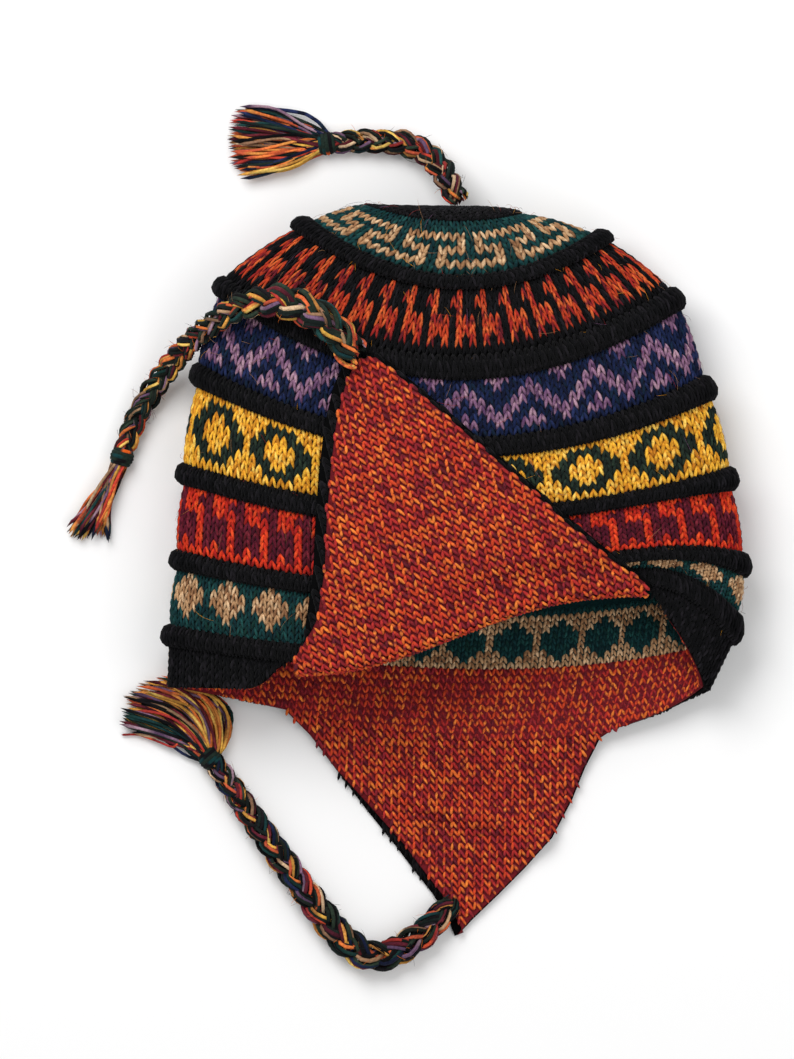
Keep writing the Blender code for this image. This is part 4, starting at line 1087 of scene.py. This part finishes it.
# The ear flap folded up over the crown, and the one that lies on the floor
foldFacts = {
    "radius": 0.0018, "clearance": 0.0015, "weltRise": 0.004, "seam": 0.0005,
    "length": 0.140, "down": 0.942, "edgeLeft": 0.0055, "edgeRight": 0.0033,
    "rows": (
        (-0.487, 0.135, 0.513, 0.351), (-0.460, 0.307, 0.367, 0.467), (-0.453, 0.467, 0.225, 0.590),
        (-0.440, 0.632, 0.092, 0.700), (-0.420, 0.790, -0.040, 0.813), (-0.390, 0.911, -0.174, 0.920),
        (-0.350, 1.000, -0.284, 1.006),
    ),
    "lean": math.radians(14), "pitchAcross": 0.0039, "pitchDown": 0.0034, "slant": 0.22,
    "rustTrim": (0.045, 0.047), "blackTrim": (0.07, 0.03),
}
flatFacts = {
    "down": 1.045, "left": -0.572, "right": 0.65, "reach": 0.103, "edgeLeft": 0.0044, "edgeRight": 0.0008, "edgeFrom": 0.22, "edgeReach": 0.35,
    "creases": ((0.0086, -0.2820, -13, 0.036, 0.0060, 0.0056), (-0.0200, -0.2740, -24, 0.022, 0.0040, 0.0026), (0.0330, -0.2960, 8, 0.020, 0.0040, 0.0026)),
    "rows": (
        (-0.514, 0.105, 0.497, 0.119), (-0.427, 0.254, 0.444, 0.254), (-0.322, 0.435, 0.399, 0.399),
        (-0.218, 0.602, 0.329, 0.570), (-0.158, 0.706, 0.235, 0.706), (-0.089, 0.819, 0.141, 0.828),
        (-0.040, 0.918, 0.051, 0.940), (-0.009, 1.013, 0.004, 1.006),
    ),
    }
place = np.array(hat["place"])


def nearHeights():
    # Height of the near layer over a grid of places
    xs, ys = np.arange(-0.14, 0.1401, 0.002), np.arange(-0.26, 0.0201, 0.002)
    x, y = (grid.ravel() for grid in np.meshgrid(xs, ys))

    def pointsAt(station):
        spots = np.clip(station - 1, 0, len(rings) - 1)
        low = np.minimum(spots.astype(int), len(rings) - 2)
        mixed = rings[low] + (rings[low + 1] - rings[low]) * (spots - low)[:, None]
        half = (mixed[:, 1] - mixed[:, 0]) / 2 * hat["width"] / 2
        middle = (mixed[:, 1] + mixed[:, 0]) / 2 * hat["width"] / 2
        across = np.clip((x - middle) / half, -0.999, 0.999)
        return ringPoints(station, np.arcsin(across)[:, None])[:, 0]

    low, high = np.full(len(x), 1.0), np.full(len(x), hemRing)
    for _ in range(24):
        middle = (low + high) / 2
        above = pointsAt(middle)[:, 1] > y
        low, high = np.where(above, middle, low), np.where(above, high, middle)
    return xs, ys, pointsAt(low)[:, 2].reshape(len(ys), len(xs))


heightXs, heightYs, heightField = nearHeights()


def nearHeight(x, y):
    column = np.clip((x - heightXs[0]) / 0.002, 0, len(heightXs) - 1.001)
    row = np.clip((y - heightYs[0]) / 0.002, 0, len(heightYs) - 1.001)
    r, c = row.astype(int), column.astype(int)
    dr, dc = row - r, column - c
    low = heightField[r, c] * (1 - dc) + heightField[r, c + 1] * dc
    high = heightField[r + 1, c] * (1 - dc) + heightField[r + 1, c + 1] * dc
    return low * (1 - dr) + high * dr


def foldFrames():
    turns = np.linspace(turnOf(foldRing, hat["foldLeft"]), turnOf(foldRing, hat["foldRight"]), 121)
    station = np.full(121, foldRing)
    point, normal = crownPoint(station, turns) - place, crownNormal(station, turns)
    out = point + place - crownPoint(station - 0.2, turns)
    out = unit(out - normal * (out * normal).sum(axis=1, keepdims=True))
    centre = point + out * foldFacts["seam"] + normal * foldFacts["radius"]
    return centre, out, normal


foldCentre, foldOut, foldNormal = foldFrames()
foldAxes = np.array((math.cos(foldFacts["lean"]), math.sin(foldFacts["lean"]))), np.array((-math.sin(foldFacts["lean"]), math.cos(foldFacts["lean"])))


def foldedEdges(edgeLeft, edgeRight):
    # The left and right edges of the folded flap, from its base to its tip, seen from above
    left, right = [], []
    for a, aUp, b, bUp in foldFacts["rows"]:
        l = np.array((a * hat["width"] / 2, -foldFacts["down"] * hat["crown"] + aUp * foldFacts["length"]))
        r = np.array((b * hat["width"] / 2, -foldFacts["down"] * hat["crown"] + bUp * foldFacts["length"]))
        along = unit(r - l)
        left.append(l - along * edgeLeft)
        right.append(r + along * edgeRight)
    return np.array(left), np.array(right)


def foldTop(radius):
    top = foldCentre + foldNormal * radius
    across = top[:, :2] @ foldAxes[0]
    up = top[:, :2] @ foldAxes[1]
    return top, across, up


def foldedHeight(x, y, radius):
    # Height of a layer of the flap at that radius of the fold, easing into the fold at its base
    top, across, up = foldTop(radius)
    a = x * foldAxes[0][0] + y * foldAxes[0][1]
    b = x * foldAxes[1][0] + y * foldAxes[1][1]
    foldUp = np.interp(a, across, up)
    foldZ = np.interp(a, across, top[:, 2])
    rest = nearHeight(x, y) + foldFacts["weltRise"] + foldFacts["clearance"] + radius - foldFacts["radius"]
    rest = rest + 0.0006 * np.sin(y / 0.0085) * np.sin(x / 0.03 + 1.0)
    return foldZ + (rest - foldZ) * smoothStep((b - foldUp) / 0.020)


def foldedSurface(radius):
    # u and v count stitches across and down in the flap's own leaning axes; v goes on round the fold
    top, across, up = foldTop(radius)

    def pointAt(u, v):
        a, b = u * foldFacts["pitchAcross"], -v * foldFacts["pitchDown"]
        foldUp = np.interp(a, across, up)
        x = a * foldAxes[0][0] + b * foldAxes[1][0]
        y = a * foldAxes[0][1] + b * foldAxes[1][1]
        flat = np.stack([x, y, foldedHeight(x, y, radius)], axis=-1)
        spot = np.interp(a, across, np.arange(121.0))
        low = np.minimum(spot.astype(int), 119)
        mix = (spot - low)[..., None]
        frames = [part[low] * (1 - mix) + part[low + 1] * mix for part in (foldCentre, foldOut, foldNormal)]
        angle = np.clip(math.pi / 2 - (foldUp - b) / radius, -math.pi / 2, math.pi / 2)[..., None]
        bent = frames[0] + (frames[1] * np.cos(angle) + frames[2] * np.sin(angle)) * radius
        return np.where((b < foldUp)[..., None], bent, flat) + place
    return pointAt


def insideOutline(x, y, left, right):
    outline = np.concatenate([left, right[::-1]])
    inside = np.zeros(x.shape, bool)
    for a, b in zip(outline, np.roll(outline, -1, axis=0)):
        crosses = (a[1] > y) != (b[1] > y)
        at = a[0] + (y - a[1]) * (b[0] - a[0]) / np.where(b[1] == a[1], 1e-9, b[1] - a[1])
        inside ^= crosses & (x < at)
    return inside


def foldedOutline(edgeLeft, edgeRight, radius, trim):
    # The outline with the ends of the fold as its base
    left, right = foldedEdges(edgeLeft, edgeRight)
    top = foldTop(radius)[0]
    first, last = top[int(120 * trim[0])], top[int(120 * (1 - trim[1]))]
    return np.concatenate([first[None, :2], left]), np.concatenate([last[None, :2], right])


def foldedCloth(radius, edgeLeft, edgeRight, wrap, trim):
    # u from 0 at the left edge to 1 at the right, v from 0 inside the fold to 1 at the tip
    left, right = foldedOutline(edgeLeft, edgeRight, radius, trim)
    steps = np.concatenate([[0], np.cumsum(np.linalg.norm(np.diff((left + right) / 2, axis=0), axis=1))])
    turnPart = wrap * radius / (wrap * radius + steps[-1])

    def pointAt(u, v):
        spot = (trim[0] + (1 - trim[0] - trim[1]) * u) * 120.0
        low = np.minimum(spot.astype(int), 119)
        mix = (spot - low)[..., None]
        frames = [part[low] * (1 - mix) + part[low + 1] * mix for part in (foldCentre, foldOut, foldNormal)]
        angle = (math.pi / 2 - wrap * (1 - np.clip(v / turnPart, 0, 1)))[..., None]
        wrapped = frames[0] + (frames[1] * np.cos(angle) + frames[2] * np.sin(angle)) * radius
        reach = np.clip((v - turnPart) / (1 - turnPart), 0, 1) * steps[-1]
        l = np.stack([np.interp(reach, steps, left[:, k]) for k in range(2)], axis=-1)
        r = np.stack([np.interp(reach, steps, right[:, k]) for k in range(2)], axis=-1)
        flat = l + (r - l) * u[..., None]
        # close to the fold the rows follow its curve
        near = np.clip(1 - reach / (steps[1] * 1.0), 0, 1)[..., None]
        chord = left[0] + (right[0] - left[0]) * u[..., None]
        flat = flat + (frames[0] + frames[2] * radius - np.concatenate([chord, np.zeros_like(chord[..., :1])], axis=-1))[..., :2] * near
        heights = foldedHeight(flat[..., 0], flat[..., 1], radius)
        lying = np.concatenate([flat, heights[..., None]], axis=-1)
        return np.where((v < turnPart)[..., None], wrapped, lying) + place
    return pointAt


def makeFoldedFlap():
    blackTop = foldFacts["radius"] + hat["wall"]
    rustLow = blackTop + hat["liningGap"]
    rustTop = rustLow + hat["lining"]
    rustTrim, blackTrim = foldFacts["rustTrim"], foldFacts["blackTrim"]
    left, right = foldedOutline(0.0, 0.0, rustTop, rustTrim)
    column, row = (grid.ravel().astype(float) for grid in np.meshgrid(np.arange(-45, 45), np.arange(-14, 82)))
    top, across, up = foldTop(rustTop)
    a, b = (column + 0.5) * foldFacts["pitchAcross"], -(row + 0.5) * foldFacts["pitchDown"]
    x = a * foldAxes[0][0] + b * foldAxes[1][0]
    y = a * foldAxes[0][1] + b * foldAxes[1][1]
    foldUp = np.interp(a, across, up)
    lower = np.array((0.0, -0.03))
    onFlap = insideOutline(x, y, np.concatenate([left[:1] + lower, left]), np.concatenate([right[:1] + lower, right])) & (b >= foldUp)
    onFold = (b < foldUp) & (b > foldUp - 0.0135) & (a > np.interp(120 * rustTrim[0], np.arange(121), across))
    onFold &= a < np.interp(120 * (1 - rustTrim[1]), np.arange(121), across)
    chosen = onFlap | onFold
    knit(
        "near_flap_lining_stitches", foldedSurface(rustTop - 0.0004), column[chosen], row[chosen], np.full(chosen.sum(), "rust"),
        "rust_knit", ["near_flap_lining"], flip=True, slant=foldFacts["slant"], **rustLeg,
    )
    # The lining's ground is the marl's maroon at 0.55: painted shade between the stitches
    layCloth(
        "near_flap_lining_cloth", foldedCloth(rustTop - 0.0009, 0.0, 0.0, math.pi, rustTrim), foldedCloth(rustLow, 0.0, 0.0, math.pi, rustTrim),
        48, 60, False, clothMaterial("nearFlapLiningGround", "rust", 0.55, 3), "rust_knit", ["near_flap_lining"],
    )
    wide = foldedOutline(foldFacts["edgeLeft"] - 0.0016, foldFacts["edgeRight"] - 0.0014, blackTop, blackTrim)
    slim = foldedOutline(-0.004, -0.004, blackTop, blackTrim)
    edging = insideOutline(x, y, *wide) & ~insideOutline(x, y, *slim) & (b > foldUp)
    knit(
        "near_flap_stitches", foldedSurface(blackTop - 0.0004), column[edging], row[edging], np.full(edging.sum(), "black"),
        "black_knit", ["near_flap"], flip=True, slant=foldFacts["slant"],
    )
    # The black ground is darkened to 0.3: painted shade between the stitches
    layCloth(
        "near_flap_cloth", foldedCloth(blackTop - 0.0005, foldFacts["edgeLeft"], foldFacts["edgeRight"], math.pi, blackTrim),
        foldedCloth(foldFacts["radius"], foldFacts["edgeLeft"], foldFacts["edgeRight"], math.pi, blackTrim),
        48, 60, False, clothMaterial("nearFlapGround", "black", 0.3), "black_knit", ["near_flap"],
    )


def farHem():
    turns = np.linspace(turnOf(hemRing, flatFacts["right"], False), turnOf(hemRing, flatFacts["left"], False), 121)
    points = crownPoint(np.full(121, hemRing), turns) - place
    return points[::-1]


hemLine = farHem()
flapTurns = turnOf(hemRing, flatFacts["right"], False), turnOf(hemRing, flatFacts["left"], False)


def flatEdges(edgeLeft, edgeRight):
    left, right = [hemLine[0, :2]], [hemLine[-1, :2]]
    for a, aDown, b, bDown in flatFacts["rows"]:
        l = np.array((a * hat["width"] / 2, -flatFacts["down"] * hat["crown"] - aDown * flatFacts["reach"]))
        r = np.array((b * hat["width"] / 2, -flatFacts["down"] * hat["crown"] - bDown * flatFacts["reach"]))
        along = unit(r - l)
        left.append(l + along * edgeLeft * smoothStep((aDown - flatFacts["edgeFrom"]) / flatFacts["edgeReach"]))
        right.append(r - along * edgeRight)
    return np.array(left), np.array(right)


def flatHeight(x, y, height):
    # Its creases (middle, lean, half length, half width and rise), and the rise to the rim at the hem
    lift = 0.0
    for midX, midY, lean, half, wide, rise in flatFacts["creases"]:
        c, d = math.cos(math.radians(lean)), math.sin(math.radians(lean))
        along, off = (x - midX) * c + (y - midY) * d, (y - midY) * c - (x - midX) * d
        lift = lift + rise * np.exp(-((along / half) ** 2) - (off / wide) ** 2)
    hem = np.interp(x, hemLine[:, 0], hemLine[:, 1])
    hemRise = np.interp(x, hemLine[:, 0], hemLine[:, 2])
    return height + lift + hemRise * np.exp(-np.clip(hem - y, 0, None) / 0.012)


def flatCloth(height, edgeLeft, edgeRight):
    left, right = flatEdges(edgeLeft, edgeRight)
    steps = np.linspace(0, 1, len(left))

    def pointAt(u, v):
        l = np.stack([np.interp(v, steps, left[:, k]) for k in range(2)], axis=-1)
        r = np.stack([np.interp(v, steps, right[:, k]) for k in range(2)], axis=-1)
        flat = l + (r - l) * u[..., None]
        spot = u * 120.0
        low = np.minimum(spot.astype(int), 119)
        hem = hemLine[low] + (hemLine[low + 1] - hemLine[low]) * (spot - low)[..., None]
        chord = hemLine[0, :2] + (hemLine[-1, :2] - hemLine[0, :2]) * u[..., None]
        flat[..., 1] += (hem[..., 1] - chord[..., 1]) * np.clip(1 - v * 1.3, 0, 1) ** 2
        flat[..., 1] += 0.0010 * (v < 0.01)
        return np.concatenate([flat, flatHeight(flat[..., 0], flat[..., 1], height)[..., None]], axis=-1) + place
    return pointAt


def flapFabric(height, offset):
    # The rim's fabric, counted the same way, goes on over the hem and down the flat flap
    rim = rimSurface(offset, rimFacts["around"])

    def pointAt(u, v):
        turn, travelled = (u / rimFacts["around"]) % 1.0, v * rimFacts["rowHeight"]
        deep = rimDepth(turn)
        hem = crownPoint(np.full(turn.shape, hemRing), turn) - place
        x, y = hem[..., 0], hem[..., 1] - np.clip(travelled - deep, 0, None)
        lying = np.stack([x, y, flatHeight(x, y, height)], axis=-1) + place
        hanging = (travelled > deep) & (turn > flapTurns[0] - 0.004) & (turn < flapTurns[1] + 0.004)
        return np.where(hanging[..., None], lying, rim(u, np.minimum(travelled, deep) / rimFacts["rowHeight"]))
    return pointAt


def makeFlatFlap():
    rustLow = hat["wall"] + hat["liningGap"]
    rustTop = rustLow + hat["lining"]
    around = rimFacts["around"]
    first, last = flapTurns
    column, row = (grid.ravel().astype(float) for grid in np.meshgrid(np.arange(int(first * around), int(last * around) + 1), np.arange(54)))
    centre = flapFabric(rustTop, 0.0)(column + 0.5, row + 0.5) - place
    x, y = centre[:, 0], centre[:, 1]
    below = (row + 0.5) * rimFacts["rowHeight"] > rimDepth((column + 0.5) / around)
    left, right = flatEdges(flatFacts["edgeLeft"], flatFacts["edgeRight"])
    left = np.concatenate([left[:1] + (0, 0.03), left])
    right = np.concatenate([right[:1] + (0, 0.03), right])
    chosen = insideOutline(x, y, left + (0.0010, 0), right - (0.0010, 0)) & below
    knit(
        "far_flap_lining_stitches", flapFabric(rustTop - 0.0004, -rustTop + 0.0004), column[chosen], row[chosen], np.full(chosen.sum(), "rust"),
        "rust_knit", ["far_flap_lining"], flip=True, side=-1, slant=rimFacts["slant"], **rustLeg,
    )
    # The lining's ground is the marl's maroon at 0.55: painted shade between the stitches
    layCloth(
        "far_flap_lining_cloth", flatCloth(rustTop - 0.0009, flatFacts["edgeLeft"], flatFacts["edgeRight"]),
        flatCloth(rustLow, flatFacts["edgeLeft"], flatFacts["edgeRight"]), 48, 48, False,
        clothMaterial("farFlapLiningGround", "rust", 0.55, 3), "rust_knit", ["far_flap_lining"],
    )
    left, right = flatEdges(0.0018, 0.0020)
    left, right = np.concatenate([left[:1] + (0, 0.03), left]), np.concatenate([right[:1] + (0, 0.03), right])
    slimLeft, slimRight = flatEdges(0.008, 0.008)
    slim = np.concatenate([slimLeft[:1] + (0, 0.03), slimLeft]), np.concatenate([slimRight[:1] + (0, 0.03), slimRight])
    lowLeft = (x < (slimLeft[-1, 0] + slimRight[-1, 0]) / 2 - 0.002) & (y < -flatFacts["down"] * hat["crown"] - flatFacts["edgeFrom"] * flatFacts["reach"])
    edging = insideOutline(x, y, left, right) & ~insideOutline(x, y, *slim) & below & lowLeft
    knit(
        "far_flap_stitches", flapFabric(hat["wall"] - 0.0004, 0.0), column[edging], row[edging], np.full(edging.sum(), "black"),
        "black_knit", ["far_flap"], flip=True, side=-1,
    )
    # The black ground is darkened to 0.3: painted shade between the stitches
    layCloth(
        "far_flap_cloth", flatCloth(hat["wall"] - 0.0005, 0.0, 0.0), flatCloth(0.0002, 0.0, 0.0), 48, 48, False,
        clothMaterial("farFlapGround", "black", 0.3), "black_knit", ["far_flap"],
    )


makeDiamondLining()
makeRim()
print("hat: linings and rim")
makeFoldedFlap()
makeFlatFlap()
print("hat: ear flaps")

# Pale floor and soft light
studio = {
    "floorShade": 0.90,
    "world": 0.52,
    "key": {"place": (-0.45, 0.80, 1.20), "size": 0.9, "power": 16.0},
    "fill": {"place": (0.80, -0.30, 1.30), "size": 1.4, "power": 6.5},
}


def makeStudio():
    bm = bmesh.new()
    bmesh.ops.create_grid(bm, x_segments=1, y_segments=1, size=3.0)
    mesh = bpy.data.meshes.new("floor")
    bm.to_mesh(mesh)
    bm.free()
    floor = bpy.data.objects.new("floor", mesh)
    material = bpy.data.materials.new("paleFloor")
    material.use_nodes = True
    shader = material.node_tree.nodes["Principled BSDF"]
    shader.inputs["Base Color"].default_value = (*[studio["floorShade"]] * 3, 1.0)
    shader.inputs["Roughness"].default_value = 0.9
    mesh.materials.append(material)
    bpy.context.scene.collection.objects.link(floor)
    for name in ("key", "fill"):
        facts = studio[name]
        data = bpy.data.lights.new(name + "Light", "AREA")
        data.energy, data.size = facts["power"], facts["size"]
        light = bpy.data.objects.new(name + "Light", data)
        light.location = facts["place"]
        light.rotation_mode = "QUATERNION"
        light.rotation_quaternion = Vector(facts["place"]).to_track_quat("Z", "Y")
        bpy.context.scene.collection.objects.link(light)
    world = bpy.data.worlds.new("softRoom")
    world.use_nodes = True
    world.node_tree.nodes["Background"].inputs["Color"].default_value = (1.0, 1.0, 1.0, 1.0)
    world.node_tree.nodes["Background"].inputs["Strength"].default_value = studio["world"]
    bpy.context.scene.world = world
    bpy.context.scene.view_settings.view_transform = "Standard"


makeStudio()
total = sum(len(o.data.polygons) for o in bpy.data.objects if o.type == "MESH" and not o.hide_render)
print("hat: studio; faces shown", total)
